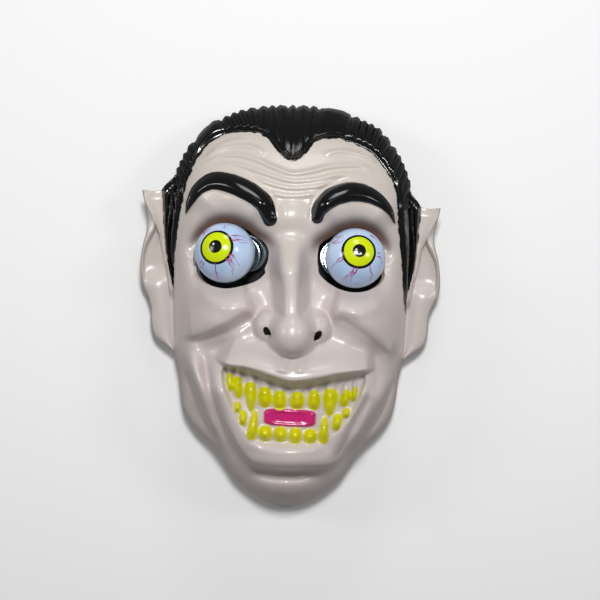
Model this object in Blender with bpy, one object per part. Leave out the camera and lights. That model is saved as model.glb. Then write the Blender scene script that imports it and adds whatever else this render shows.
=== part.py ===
"""Horror mask: a hard, thin-walled vampire face whose eyeballs ride on flat-wire springs.

The mask lies face up on its rear rim: X runs across the face, Y from chin to hair, Z out of the face.
The face is one moulding (skin, hair, brows, teeth, tongue and ears), so it is one solid with painted
areas. Each eye is a separate black cup behind the face, a spring seated in it and a hollow eyeball.
Left and right are the viewer's.
"""

import math

import bmesh
import bpy
import numpy as np
from mathutils import Vector

# Driving sizes of the face, in metres
FACE_LENGTH = 0.280      # hair top to chin
FACE_WIDTH = 0.172       # across the temples, without the ears
FACE_DEPTH = 0.070       # rear rim to the general level of the face
WALL = 0.0016            # wall of the moulding
LINING_REACH = 0.0028    # how far round each point the lining looks for the lowest form
SIDE_ROUNDNESS = 3.0     # how squarely the face turns into its side walls
EDGE_ROUNDNESS = 2.2     # how steeply those walls meet the rim
EDGE_BAND = 0.10         # share of the face's reach over which its forms fade out towards the rim

# Ears
EAR_REACH = 0.0180       # how far an ear stands out past the temple
EAR_LEVEL = 0.024        # height of the ear's plate over the rim
EAR_WALL = 0.0030
EAR_ROOT = 0.020         # how far the plate runs into the side wall before it is trimmed
EAR_LEAN = 0.008         # how much lower the lobe stands than the tip

# Eyes
EYEBALL_DIAMETER = 0.040
EYEBALL_WALL = 0.0012
EYEBALL_CUT = 0.009      # how far behind its centre the ball is cut open
EYE_SPACING = 0.0868     # between the centres of the two balls
EYE_LINE = 0.0342        # height of the eyes along the face
EYE_CENTRE_DEPTH = 0.065 # centre of a ball over the rim
CUP_RADIUS = 0.0285
CUP_WALL = 0.0015
CUP_BACK = 0.034         # back of the cup over the rim
SIGHT_HOLE_RADIUS = 0.0135
SPRING_RADIUS = 0.0160   # middle of the wire
SPRING_TURNS = 8
WIRE_THICKNESS = 0.0008  # along the spring
WIRE_WIDTH = 0.0030      # across it
WIRE_GAP = 0.0002        # between a flat end turn and the next one
SEAT_GAP = 0.0003        # between pieces that touch

# Holes in the moulding
NOSTRIL_WIDTH = 0.0052
NOSTRIL_LENGTH = 0.0086
STRAP_SLOT_LENGTH = 0.018
STRAP_SLOT_WIDTH = 0.005
STRAP_SLOT_HEIGHT = 0.010  # middle of the slot over the rim
STRAP_SLOT_LEVEL = 0.020   # middle of the slot along the face

HALF_WIDTH = FACE_WIDTH / 2
HALF_LENGTH = FACE_LENGTH / 2

# How finely the solids are meshed
SKIN_COLUMNS = 150
SKIN_ROWS = 180
SKIN_KEPT = 0.085        # share of the skin's triangles that is kept
LINING_COLUMNS = 34
LINING_ROWS = 42
EAR_COLUMNS = 11
EAR_ROWS = 18
BALL_SEGMENTS = 20
CUP_SEGMENTS = 32
NOSTRIL_SEGMENTS = 14
SPRING_STEPS = 12        # per turn
PATH_STEPS = 6           # between two points of a fold's path

# Colours of the finishes, linear
SKIN_COLOUR = (0.60, 0.50, 0.42, 1.0)
HAIR_COLOUR = (0.005, 0.006, 0.006, 1.0)
TOOTH_COLOUR = (0.62, 0.60, 0.01, 1.0)
TONGUE_COLOUR = (0.60, 0.02, 0.14, 1.0)
EYE_WHITE_COLOUR = (0.62, 0.72, 0.86, 1.0)
CUP_COLOUR = (0.004, 0.004, 0.005, 1.0)
STEEL_COLOUR = (0.75, 0.80, 0.85, 1.0)

# Half outline of the face from hair top to chin: height and half width, as shares of the halves
OUTLINE = (
    {"height": 1.000, "width": 0.00},
    {"height": 0.993, "width": 0.22},
    {"height": 0.970, "width": 0.42},
    {"height": 0.930, "width": 0.57},
    {"height": 0.890, "width": 0.70},
    {"height": 0.811, "width": 0.81},
    {"height": 0.731, "width": 0.89},
    {"height": 0.612, "width": 0.96},
    {"height": 0.450, "width": 0.99},
    {"height": 0.284, "width": 1.00},
    {"height": 0.035, "width": 0.97},
    {"height": -0.224, "width": 0.94},
    {"height": -0.343, "width": 0.90},
    {"height": -0.463, "width": 0.875},
    {"height": -0.542, "width": 0.84},
    {"height": -0.622, "width": 0.75},
    {"height": -0.701, "width": 0.62},
    {"height": -0.781, "width": 0.52},
    {"height": -0.861, "width": 0.43},
    {"height": -0.940, "width": 0.28},
    {"height": -0.985, "width": 0.13},
    {"height": -1.000, "width": 0.00},
)

# Level of the face along its middle, without the nose, as a share of its depth
LEVELS = (
    {"height": 1.00, "level": 0.80},
    {"height": 0.80, "level": 0.92},
    {"height": 0.60, "level": 1.00},
    {"height": 0.45, "level": 1.02},
    {"height": 0.25, "level": 0.93},
    {"height": 0.00, "level": 0.92},
    {"height": -0.20, "level": 1.02},
    {"height": -0.35, "level": 1.10},
    {"height": -0.60, "level": 1.10},
    {"height": -0.75, "level": 1.04},
    {"height": -0.88, "level": 1.02},
    {"height": -1.00, "level": 0.90},
)

# Broad forms: centre, half sizes and turn in degrees, and how far each stands out or in
MOUNDS = (
    {"name": "left socket", "x": -0.47, "y": 0.26, "wide": 0.42, "tall": 0.25, "turn": 0, "rise": -0.15},
    {"name": "right socket", "x": 0.48, "y": 0.25, "wide": 0.42, "tall": 0.25, "turn": 0, "rise": -0.15},
    {"name": "left cheek", "x": -0.55, "y": -0.02, "wide": 0.40, "tall": 0.20, "turn": -8, "rise": 0.15},
    {"name": "right cheek", "x": 0.62, "y": -0.03, "wide": 0.40, "tall": 0.21, "turn": 10, "rise": 0.15},
    {"name": "upper lip", "x": 0.04, "y": -0.25, "wide": 0.50, "tall": 0.14, "turn": 0, "rise": 0.06},
    {"name": "lower lip", "x": 0.05, "y": -0.72, "wide": 0.38, "tall": 0.10, "turn": 0, "rise": 0.06},
    {"name": "chin", "x": -0.02, "y": -0.89, "wide": 0.34, "tall": 0.13, "turn": 0, "rise": 0.07},
    {"name": "left jaw hollow", "x": -0.72, "y": -0.55, "wide": 0.30, "tall": 0.26, "turn": 25, "rise": -0.12},
    {"name": "right jaw hollow", "x": 0.76, "y": -0.58, "wide": 0.30, "tall": 0.26, "turn": -25, "rise": -0.12},
    {"name": "left muzzle hollow", "x": -0.56, "y": -0.21, "wide": 0.26, "tall": 0.09, "turn": 20, "rise": -0.06},
    {"name": "right muzzle hollow", "x": 0.62, "y": -0.24, "wide": 0.24, "tall": 0.09, "turn": -30, "rise": -0.05},
    {"name": "glabella", "x": 0.00, "y": 0.43, "wide": 0.20, "tall": 0.12, "turn": 0, "rise": 0.05},
)

# Round forms: centre, radius, level of the centre and width of the soft join with what is there
KNOBS = (
    {"name": "nose tip", "x": 0.022, "y": -0.105, "radius": 0.172, "stretch": 1.15, "level": 1.13, "blend": 0.16},
    {"name": "left nostril wing", "x": -0.170, "y": -0.060, "radius": 0.110, "stretch": 1.2, "level": 0.95,
     "blend": 0.09},
    {"name": "right nostril wing", "x": 0.222, "y": -0.072, "radius": 0.110, "stretch": 1.2, "level": 0.95,
     "blend": 0.09},
)
NOSTRILS = (
    {"name": "left", "x": -0.164, "y": -0.122, "turn": 28},
    {"name": "right", "x": 0.224, "y": -0.135, "turn": -28},
)

# Folds and ridges: path, reach to the left and right of its travel, how far each stands out,
# and the share of the path over which each end fades
FOLDS = (
    {"name": "nose bridge", "left": 0.165, "right": 0.165, "rise": 0.36, "fade": (0.5, 0.0),
     "path": ((0.00, 0.38), (0.00, 0.22), (0.01, 0.08), (0.02, -0.10))},
    {"name": "left brow bone", "left": 0.20, "right": 0.13, "rise": 0.09, "fade": (0.18, 0.18),
     "path": ((-0.16, 0.42), (-0.30, 0.50), (-0.50, 0.58), (-0.68, 0.56), (-0.80, 0.46))},
    {"name": "right brow bone", "left": 0.13, "right": 0.20, "rise": 0.09, "fade": (0.18, 0.18),
     "path": ((0.20, 0.42), (0.34, 0.50), (0.50, 0.54), (0.68, 0.50), (0.82, 0.40))},
    {"name": "left eye bag", "left": 0.10, "right": 0.06, "rise": 0.045, "fade": (0.25, 0.25),
     "path": ((-0.74, 0.09), (-0.60, 0.03), (-0.42, 0.00), (-0.22, 0.05))},
    {"name": "right eye bag", "left": 0.10, "right": 0.06, "rise": 0.045, "fade": (0.25, 0.25),
     "path": ((0.24, 0.04), (0.44, -0.01), (0.62, 0.00), (0.76, 0.06))},
    {"name": "left cheek fold", "left": 0.18, "right": 0.055, "rise": 0.10, "fade": (0.18, 0.12),
     "path": ((-0.86, -0.14), (-0.70, -0.13), (-0.52, -0.08), (-0.38, -0.03), (-0.26, 0.00))},
    {"name": "right cheek fold", "left": 0.18, "right": 0.055, "rise": 0.10, "fade": (0.12, 0.18),
     "path": ((0.31, -0.02), (0.44, -0.04), (0.57, -0.09), (0.74, -0.17), (0.88, -0.22))},
    {"name": "left philtrum ridge", "left": 0.045, "right": 0.045, "rise": 0.030, "fade": (0.3, 0.2),
     "path": ((-0.030, -0.23), (-0.035, -0.27), (-0.045, -0.31))},
    {"name": "right philtrum ridge", "left": 0.045, "right": 0.045, "rise": 0.030, "fade": (0.3, 0.2),
     "path": ((0.090, -0.23), (0.092, -0.27), (0.095, -0.31))},
    {"name": "upper lip edge", "left": 0.15, "right": 0.028, "rise": 0.095, "fade": (0.12, 0.12),
     "path": ((-0.57, -0.235), (-0.46, -0.270), (-0.29, -0.285), (-0.11, -0.320), (0.03, -0.342),
              (0.20, -0.330), (0.38, -0.305), (0.58, -0.290), (0.69, -0.285))},
    {"name": "lower lip rim", "left": 0.12, "right": 0.045, "rise": 0.10, "fade": (0.10, 0.10),
     "path": ((0.66, -0.30), (0.64, -0.41), (0.57, -0.53), (0.46, -0.66), (0.36, -0.735), (0.10, -0.755),
              (-0.09, -0.755), (-0.25, -0.735), (-0.35, -0.67), (-0.47, -0.54), (-0.55, -0.41),
              (-0.58, -0.26))},
    {"name": "inner lower lip", "left": 0.04, "right": 0.04, "rise": 0.028, "fade": (0.25, 0.25),
     "path": ((0.36, -0.640), (0.20, -0.672), (0.00, -0.680), (-0.20, -0.672), (-0.34, -0.630))},
    {"name": "left jaw fold", "left": 0.055, "right": 0.055, "rise": 0.095, "fade": (0.12, 0.20),
     "path": ((-0.770, -0.160), (-0.740, -0.275), (-0.660, -0.417), (-0.562, -0.587), (-0.440, -0.740))},
    {"name": "left jaw groove", "left": 0.035, "right": 0.030, "rise": -0.055, "fade": (0.15, 0.15),
     "path": ((-0.700, -0.180), (-0.645, -0.300), (-0.575, -0.440), (-0.490, -0.615), (-0.370, -0.780))},
    {"name": "left outer jaw groove", "left": 0.035, "right": 0.035, "rise": -0.030, "fade": (0.2, 0.25),
     "path": ((-0.820, -0.300), (-0.740, -0.446), (-0.640, -0.578), (-0.540, -0.680))},
    {"name": "right jaw fold", "left": 0.055, "right": 0.055, "rise": 0.065, "fade": (0.2, 0.25),
     "path": ((0.780, -0.320), (0.690, -0.460), (0.590, -0.590), (0.480, -0.730))},
    {"name": "right jaw groove", "left": 0.030, "right": 0.035, "rise": -0.050, "fade": (0.15, 0.15),
     "path": ((0.720, -0.270), (0.640, -0.420), (0.540, -0.547), (0.420, -0.706), (0.350, -0.770))},
    {"name": "right outer jaw groove", "left": 0.035, "right": 0.035, "rise": -0.035, "fade": (0.2, 0.25),
     "path": ((0.860, -0.340), (0.800, -0.430), (0.710, -0.540), (0.600, -0.660))},
    {"name": "chin crease", "left": 0.05, "right": 0.05, "rise": -0.05, "fade": (0.18, 0.18),
     "path": ((-0.32, -0.79), (-0.14, -0.81), (0.10, -0.81), (0.34, -0.80))},
    {"name": "forehead crease 1", "left": 0.026, "right": 0.026, "rise": 0.016, "fade": (0.2, 0.2),
     "path": ((-0.74, 0.70), (-0.52, 0.765), (-0.33, 0.77), (-0.20, 0.73))},
    {"name": "forehead crease 2", "left": 0.026, "right": 0.026, "rise": 0.022, "fade": (0.18, 0.18),
     "path": ((-0.76, 0.66), (-0.56, 0.72), (-0.36, 0.72), (-0.16, 0.67), (0.00, 0.635), (0.16, 0.65),
              (0.31, 0.675), (0.53, 0.685), (0.68, 0.65))},
    {"name": "forehead crease 3", "left": 0.026, "right": 0.026, "rise": 0.022, "fade": (0.18, 0.18),
     "path": ((-0.62, 0.685), (-0.40, 0.675), (-0.18, 0.63), (0.00, 0.60), (0.20, 0.61), (0.36, 0.635),
              (0.60, 0.64))},
    {"name": "forehead crease 4", "left": 0.026, "right": 0.026, "rise": 0.020, "fade": (0.18, 0.18),
     "path": ((-0.30, 0.62), (-0.16, 0.585), (0.00, 0.565), (0.18, 0.575), (0.34, 0.60))},
    {"name": "forehead crease 5", "left": 0.026, "right": 0.026, "rise": 0.018, "fade": (0.2, 0.2),
     "path": ((-0.18, 0.545), (-0.06, 0.53), (0.08, 0.53), (0.20, 0.545))},
    {"name": "forehead crease 6", "left": 0.026, "right": 0.026, "rise": 0.016, "fade": (0.2, 0.2),
     "path": ((0.22, 0.73), (0.38, 0.755), (0.54, 0.74), (0.68, 0.70))},
    {"name": "forehead crease 7", "left": 0.022, "right": 0.022, "rise": 0.014, "fade": (0.2, 0.2),
     "path": ((-0.68, 0.735), (-0.50, 0.795), (-0.34, 0.800))},
    {"name": "frown line", "left": 0.016, "right": 0.030, "rise": -0.030, "fade": (0.2, 0.2),
     "path": ((0.165, 0.38), (0.155, 0.46), (0.200, 0.53), (0.300, 0.585), (0.450, 0.625))},
    {"name": "frown arc 1", "left": 0.012, "right": 0.012, "rise": 0.010, "fade": (0.25, 0.25),
     "path": ((-0.120, 0.48), (-0.085, 0.44), (-0.085, 0.39), (-0.110, 0.35))},
    {"name": "frown arc 2", "left": 0.012, "right": 0.012, "rise": 0.010, "fade": (0.25, 0.25),
     "path": ((-0.085, 0.49), (-0.045, 0.44), (-0.045, 0.39), (-0.070, 0.34))},
)

# Brows: the middle line and its half width, as shares of the half sizes
BROW_RISE = 0.05
BROWS = (
    {"name": "left", "path": ((-0.160, 0.415), (-0.21, 0.488), (-0.33, 0.545), (-0.47, 0.582),
                              (-0.61, 0.595), (-0.72, 0.560), (-0.795, 0.495), (-0.825, 0.445)),
     "half": (0.040, 0.070, 0.078, 0.075, 0.070, 0.052, 0.030, 0.008)},
    {"name": "right", "path": ((0.205, 0.425), (0.225, 0.468), (0.31, 0.520), (0.43, 0.548),
                               (0.55, 0.548), (0.67, 0.520), (0.765, 0.470), (0.815, 0.415)),
     "half": (0.034, 0.055, 0.074, 0.078, 0.074, 0.054, 0.034, 0.008)},
)

# Edge of the hair from one sideburn's tip over the peak to the other's
HAIR_RISE = 0.075
HAIR_EDGE = 0.05
HAIRLINE = (
    (-0.94, 0.02), (-0.92, 0.26), (-0.88, 0.43), (-0.84, 0.55), (-0.80, 0.64), (-0.73, 0.74),
    (-0.62, 0.81), (-0.47, 0.845), (-0.28, 0.84), (-0.18, 0.80), (-0.09, 0.73), (0.00, 0.70),
    (0.10, 0.73), (0.16, 0.785), (0.26, 0.815), (0.35, 0.82), (0.47, 0.80), (0.59, 0.77),
    (0.68, 0.72), (0.77, 0.64), (0.82, 0.57), (0.85, 0.38), (0.88, 0.23), (0.90, 0.09), (0.93, -0.03),
)

# The open mouth, sunk behind the lips, and the teeth and tongue that stand up in it
MOUTH_SINK = -0.060
MOUTH_EDGE = 0.05
MOUTH = (
    (-0.50, -0.285), (-0.30, -0.308), (-0.11, -0.345), (0.03, -0.366), (0.18, -0.355), (0.38, -0.328),
    (0.60, -0.312), (0.58, -0.41), (0.50, -0.52), (0.38, -0.61), (0.22, -0.655), (0.00, -0.662),
    (-0.20, -0.655), (-0.34, -0.60), (-0.44, -0.48), (-0.51, -0.37),
)
TOOTH_RISE = 0.048
TEETH = (
    {"x": -0.445, "y": -0.360, "wide": 0.028, "tall": 0.042, "turn": 8, "point": 0.0},
    {"x": -0.385, "y": -0.385, "wide": 0.034, "tall": 0.050, "turn": 5, "point": 0.0},
    {"x": -0.285, "y": -0.430, "wide": 0.040, "tall": 0.068, "turn": 4, "point": 0.6},
    {"x": -0.175, "y": -0.430, "wide": 0.048, "tall": 0.047, "turn": 0, "point": 0.0},
    {"x": -0.060, "y": -0.443, "wide": 0.048, "tall": 0.044, "turn": 0, "point": 0.0},
    {"x": 0.075, "y": -0.443, "wide": 0.051, "tall": 0.041, "turn": 0, "point": 0.0},
    {"x": 0.205, "y": -0.440, "wide": 0.045, "tall": 0.045, "turn": 0, "point": 0.0},
    {"x": 0.330, "y": -0.450, "wide": 0.050, "tall": 0.062, "turn": -3, "point": 0.5},
    {"x": 0.445, "y": -0.430, "wide": 0.036, "tall": 0.040, "turn": -14, "point": 0.0},
    {"x": 0.515, "y": -0.408, "wide": 0.024, "tall": 0.034, "turn": -10, "point": 0.0},
    {"x": -0.385, "y": -0.478, "wide": 0.025, "tall": 0.025, "turn": 0, "point": 0.0},
    {"x": -0.340, "y": -0.530, "wide": 0.029, "tall": 0.034, "turn": 0, "point": 0.0},
    {"x": -0.260, "y": -0.563, "wide": 0.034, "tall": 0.068, "turn": -8, "point": -0.6},
    {"x": -0.165, "y": -0.602, "wide": 0.045, "tall": 0.036, "turn": 0, "point": 0.0},
    {"x": -0.050, "y": -0.604, "wide": 0.047, "tall": 0.036, "turn": 0, "point": 0.0},
    {"x": 0.065, "y": -0.610, "wide": 0.045, "tall": 0.038, "turn": 0, "point": 0.0},
    {"x": 0.180, "y": -0.612, "wide": 0.047, "tall": 0.034, "turn": 0, "point": 0.0},
    {"x": 0.285, "y": -0.582, "wide": 0.034, "tall": 0.062, "turn": -3, "point": -0.5},
    {"x": 0.385, "y": -0.545, "wide": 0.036, "tall": 0.038, "turn": -10, "point": 0.0},
    {"x": 0.455, "y": -0.500, "wide": 0.028, "tall": 0.024, "turn": -10, "point": 0.0},
)
TONGUE = {"x": 0.020, "y": -0.525, "wide": 0.205, "tall": 0.041, "turn": -2, "point": 0.0}
TONGUE_RISE = 0.030

# The ears aren't quite level: tip's height along the face, and length down to the lobe
EARS = (
    {"name": "left", "side": -1, "tip": 0.0790, "length": 0.1110},
    {"name": "right", "side": 1, "tip": 0.0700, "length": 0.1050},
)

# Ear sections from tip to lobe: share of its length, root and outer edge as shares of the half width
# and the reach, and how far the helix stands up
EAR_SECTIONS = (
    {"down": 0.00, "root": 1.045, "reach": 0.73, "helix": 0.20},
    {"down": 0.08, "root": 1.040, "reach": 0.68, "helix": 0.80},
    {"down": 0.18, "root": 1.030, "reach": 0.60, "helix": 1.00},
    {"down": 0.26, "root": 1.022, "reach": 0.68, "helix": 1.00},
    {"down": 0.34, "root": 1.015, "reach": 0.84, "helix": 1.00},
    {"down": 0.46, "root": 1.000, "reach": 1.00, "helix": 1.00},
    {"down": 0.57, "root": 0.985, "reach": 1.04, "helix": 0.90},
    {"down": 0.66, "root": 0.975, "reach": 0.84, "helix": 0.60},
    {"down": 0.74, "root": 0.965, "reach": 0.76, "helix": 0.40},
    {"down": 0.82, "root": 0.955, "reach": 0.80, "helix": 0.30},
    {"down": 0.90, "root": 0.945, "reach": 0.72, "helix": 0.20},
    {"down": 0.95, "root": 0.935, "reach": 0.45, "helix": 0.10},
    {"down": 1.00, "root": 0.920, "reach": 0.06, "helix": 0.00},
)
# Across the ear from root to edge: share of the way and height in shares of the relief
EAR_RELIEF = 0.0065
EAR_PROFILE = (
    {"across": -0.60, "height": 0.3},
    {"across": 0.00, "height": 0.6},
    {"across": 0.16, "height": 0.9},
    {"across": 0.34, "height": -0.5},
    {"across": 0.52, "height": -0.2},
    {"across": 0.66, "height": 0.2},
    {"across": 0.82, "height": 1.0},
    {"across": 0.94, "height": 0.6},
    {"across": 1.00, "height": -0.6},
)

# Each eye: side, its own shift along the face, where its spring stands, the way that it looks
# and where its cup sits
EYES = (
    {"name": "left", "side": -1, "lift": 0.0010, "spring_in": 0.0105, "look": (-0.285, 0.185),
     "cup_x": 0.0410},
    {"name": "right", "side": 1, "lift": -0.0010, "spring_in": 0.0075, "look": (0.100, 0.230),
     "cup_x": 0.0410},
)
CUP_LINE = 0.0338        # height of the cups along the face

# Edges of the eye openings around the ball's centre, as shares of the ball's radius. They hug the ball
# above, widen towards the nose and notch where the lower lid begins
OPENINGS = {
    "left": (
        (0.05, 1.05), (0.32, 1.01), (0.59, 0.91), (0.78, 0.78), (0.93, 0.66), (1.13, 0.53), (1.32, 0.37),
        (1.43, 0.18), (1.47, -0.02), (1.43, -0.28), (1.34, -0.50), (1.37, -0.62), (1.26, -0.77),
        (1.05, -0.93), (0.72, -1.06), (0.37, -1.16), (0.05, -1.20), (-0.28, -1.16), (-0.57, -1.06),
        (-0.82, -0.88), (-0.97, -0.64), (-1.00, -0.47), (-1.08, -0.43), (-1.12, -0.28), (-1.12, -0.07),
        (-1.08, 0.16), (-1.00, 0.37), (-0.86, 0.61), (-0.67, 0.81), (-0.45, 0.95), (-0.20, 1.03),
    ),
    "right": (
        (-0.05, 1.05), (0.22, 1.04), (0.51, 0.94), (0.73, 0.80), (0.89, 0.62), (1.01, 0.35), (1.06, 0.06),
        (1.04, -0.22), (1.01, -0.41), (1.04, -0.54), (0.99, -0.70), (0.87, -0.84), (0.68, -0.97),
        (0.49, -1.07), (0.22, -1.14), (-0.11, -1.15), (-0.43, -1.08), (-0.68, -0.97), (-0.92, -0.82),
        (-1.11, -0.65), (-1.22, -0.49), (-1.23, -0.33), (-1.26, -0.16), (-1.26, 0.11), (-1.23, 0.32),
        (-1.16, 0.49), (-0.97, 0.64), (-0.76, 0.77), (-0.54, 0.90), (-0.32, 0.99),
    ),
}


def clear_scene():
    for thing in list(bpy.data.objects):
        bpy.data.objects.remove(thing, do_unlink=True)


def finish_of(name, colour, roughness, metallic=0.0):
    """A Principled material with the piece's colour."""
    material = bpy.data.materials.new(name)
    material.use_nodes = True
    shader = material.node_tree.nodes["Principled BSDF"]
    shader.inputs["Base Color"].default_value = colour
    shader.inputs["Roughness"].default_value = roughness
    shader.inputs["Metallic"].default_value = metallic
    material.diffuse_color = colour
    return material


def object_of(name, mesh_editor, materials=(), helper=False, location=(0.0, 0.0, 0.0)):
    """The object made of a bmesh; a helper is a cutter that isn't shown."""
    mesh = bpy.data.meshes.new(name)
    mesh_editor.to_mesh(mesh)
    mesh_editor.free()
    for material in materials:
        mesh.materials.append(material)
    made = bpy.data.objects.new(name, mesh)
    made.location = location
    bpy.context.scene.collection.objects.link(made)
    if helper:
        made.hide_render = True
        made.display_type = "WIRE"
    return made


def boolean(target, cutter, operation):
    modifier = target.modifiers.new(f"{operation.lower()} {cutter.name}", "BOOLEAN")
    modifier.object = cutter
    modifier.operation = operation
    modifier.solver = "EXACT"


def smooth_line(points, steps=PATH_STEPS, closed=False):
    """Points along a Catmull-Rom curve through the given ones."""
    given = np.array(points, float)
    if closed:
        padded = np.vstack([given[-1], given, given[0], given[1]])
    else:
        padded = np.vstack([2 * given[0] - given[1], given, 2 * given[-1] - given[-2]])
    share = np.linspace(0, 1, steps, endpoint=False)[:, None]
    rows = []
    for before, start, end, after in zip(padded, padded[1:], padded[2:], padded[3:]):
        rows.append(0.5 * (2 * start + (end - before) * share
                           + (2 * before - 5 * start + 4 * end - after) * share**2
                           + (3 * start - before - 3 * end + after) * share**3))
    if not closed:
        rows.append(given[-1:])
    return np.vstack(rows)


def nearest_on(line, x, y):
    """Distance to the line, its sign (positive to the left of travel) and the share of the line passed."""
    best = np.full(x.shape, np.inf)
    side = np.ones(x.shape)
    share = np.zeros(x.shape)
    count = len(line) - 1
    for index in range(count):
        start, end = line[index], line[index + 1]
        along = end - start
        dx, dy = x - start[0], y - start[1]
        part = np.clip((dx * along[0] + dy * along[1]) / (along @ along), 0, 1)
        away = np.hypot(dx - part * along[0], dy - part * along[1])
        nearer = away < best
        best = np.where(nearer, away, best)
        side = np.where(nearer, np.sign(along[0] * dy - along[1] * dx), side)
        share = np.where(nearer, (index + part) / count, share)
    return best, side, share


def inside_of(line, x, y):
    """Whether each point lies inside the closed line."""
    found = np.zeros(x.shape, bool)
    for (x0, y0), (x1, y1) in zip(line, np.roll(line, -1, axis=0)):
        if y0 == y1:
            continue
        crosses = (y0 > y) != (y1 > y)
        found ^= crosses & (x < (x1 - x0) * (y - y0) / (y1 - y0) + x0)
    return found


def scaled(points):
    """Shares of the half width and half length as metres."""
    return np.array(points, float) * (HALF_WIDTH, HALF_LENGTH)


def smooth_step(value):
    value = np.clip(value, 0, 1)
    return value * value * (3 - 2 * value)


def outline_line():
    rows = [(row["width"], row["height"]) for row in OUTLINE]
    return scaled(np.maximum(smooth_line(rows), (0.0, -1.0)))


def rim_radius(x, y):
    """Distance from the middle of the face to its outline, in the direction of each point."""
    half = outline_line()
    turn = np.arctan2(half[:, 1], half[:, 0])[::-1]
    reach = np.hypot(half[:, 0], half[:, 1])[::-1]
    return np.interp(np.arctan2(y, np.abs(x)), turn, reach)


def crown(x, y):
    """The plain domed face: its side walls, and its level along the middle."""
    outward = np.minimum(np.hypot(x, y) / rim_radius(x, y), 1)
    heights = np.array([row["height"] for row in LEVELS])[::-1] * HALF_LENGTH
    levels = np.array([row["level"] for row in LEVELS])[::-1]
    level = sum(np.interp(y + shift * HALF_LENGTH, heights, levels) for shift in (-0.06, -0.03, 0, 0.03, 0.06))
    edge = (1 - outward**SIDE_ROUNDNESS) ** (1 / EDGE_ROUNDNESS)
    return FACE_DEPTH * level / 5 * edge, outward


def mound(x, y, row):
    turn = math.radians(row["turn"])
    dx, dy = x - row["x"] * HALF_WIDTH, y - row["y"] * HALF_LENGTH
    along = (dx * math.cos(turn) + dy * math.sin(turn)) / (row["wide"] * HALF_WIDTH)
    across = (dy * math.cos(turn) - dx * math.sin(turn)) / (row["tall"] * HALF_LENGTH)
    away = np.clip(along**2 + across**2, 0, 1)
    return row["rise"] * FACE_DEPTH * (1 - away) ** 2


def fold(x, y, row):
    """A ridge or groove along a path, with its own reach on each side and fading ends."""
    away, side, share = nearest_on(scaled(smooth_line(row["path"])), x, y)
    reach = np.where(side > 0, row["left"], row["right"]) * HALF_WIDTH
    start, end = row["fade"]
    ends = smooth_step(share / start) * (smooth_step((1 - share) / end) if end else 1)
    return row["rise"] * FACE_DEPTH * ends * np.exp(-((away / reach) ** 2))


def blend_up(first, second, width):
    """The higher of two levels, with a soft join of the given width."""
    gap = np.clip(0.5 + 0.5 * (second - first) / width, 0, 1)
    return first * (1 - gap) + second * gap + width * gap * (1 - gap)


def knob(x, y, row):
    radius = row["radius"] * HALF_WIDTH
    dx, dy = x - row["x"] * HALF_WIDTH, (y - row["y"] * HALF_LENGTH) / row["stretch"]
    return row["level"] * FACE_DEPTH + np.sqrt(np.maximum(radius**2 - dx**2 - dy**2, 0)) - np.where(
        np.hypot(dx, dy) > radius, (np.hypot(dx, dy) - radius) * 3, 0)


def pad(x, y, row):
    """How deep each point lies in a tooth or the tongue: 1 at its middle, 0 at its edge, below 0 outside."""
    turn = math.radians(row["turn"])
    dx, dy = x - row["x"] * HALF_WIDTH, y - row["y"] * HALF_LENGTH
    across = (dx * math.cos(turn) + dy * math.sin(turn)) / (row["wide"] * HALF_WIDTH)
    down = (dy * math.cos(turn) - dx * math.sin(turn)) / (row["tall"] * HALF_LENGTH)
    taper = 1 + row["point"] * np.clip(down, -1, 1) * 0.8
    return 1 - (np.abs(across / np.maximum(taper, 0.2)) ** 2.6 + np.abs(down) ** 2.6) ** (1 / 2.6)


def brow_depth(x, y, row):
    """How far inside the brow each point lies, in metres."""
    line = scaled(smooth_line(row["path"]))
    away, _, share = nearest_on(line, x, y)
    half = np.interp(share, np.linspace(0, 1, len(row["half"])), row["half"]) * HALF_WIDTH
    return half - away, half


def hair_depth(x, y):
    """How far inside the hair each point lies, in metres: negative on the skin."""
    line = scaled(smooth_line(HAIRLINE))
    away, _, _ = nearest_on(line, x, y)
    far = 2.0
    left, right = line[0], line[-1]
    around = np.vstack([line, (far, right[1]), (far, far), (-far, far), (-far, left[1])])
    return np.where(inside_of(around, x, y), away, -away)


def face_height(x, y):
    """Level of the face's front over the rim at each point."""
    height, outward = crown(x, y)
    shape = np.zeros(x.shape)
    for row in MOUNDS:
        shape += mound(x, y, row)
    for row in FOLDS:
        shape += fold(x, y, row)
    height = height + shape * smooth_step((1 - outward) / EDGE_BAND)
    for row in KNOBS:
        height = blend_up(height, knob(x, y, row), row["blend"] * FACE_DEPTH)
    mouth_line = scaled(smooth_line(MOUTH, closed=True))
    away, _, _ = nearest_on(np.vstack([mouth_line, mouth_line[:1]]), x, y)
    in_mouth = np.where(inside_of(mouth_line, x, y), away, 0)
    height = height + MOUTH_SINK * FACE_DEPTH * smooth_step(in_mouth / (MOUTH_EDGE * HALF_WIDTH))
    for row in TEETH:
        height = height + TOOTH_RISE * FACE_DEPTH * np.sqrt(np.clip(pad(x, y, row) * 1.8, 0, 1))
    height = height + TONGUE_RISE * FACE_DEPTH * np.sqrt(np.clip(pad(x, y, TONGUE) * 3, 0, 1))
    for row in BROWS:
        depth, half = brow_depth(x, y, row)
        height = height + BROW_RISE * FACE_DEPTH * np.sqrt(np.clip(depth / (0.7 * half), 0, 1))
    hair = smooth_step(hair_depth(x, y) / (HAIR_EDGE * HALF_WIDTH)) * smooth_step((1 - outward) / 0.04)
    return height + hair * FACE_DEPTH * HAIR_RISE


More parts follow.
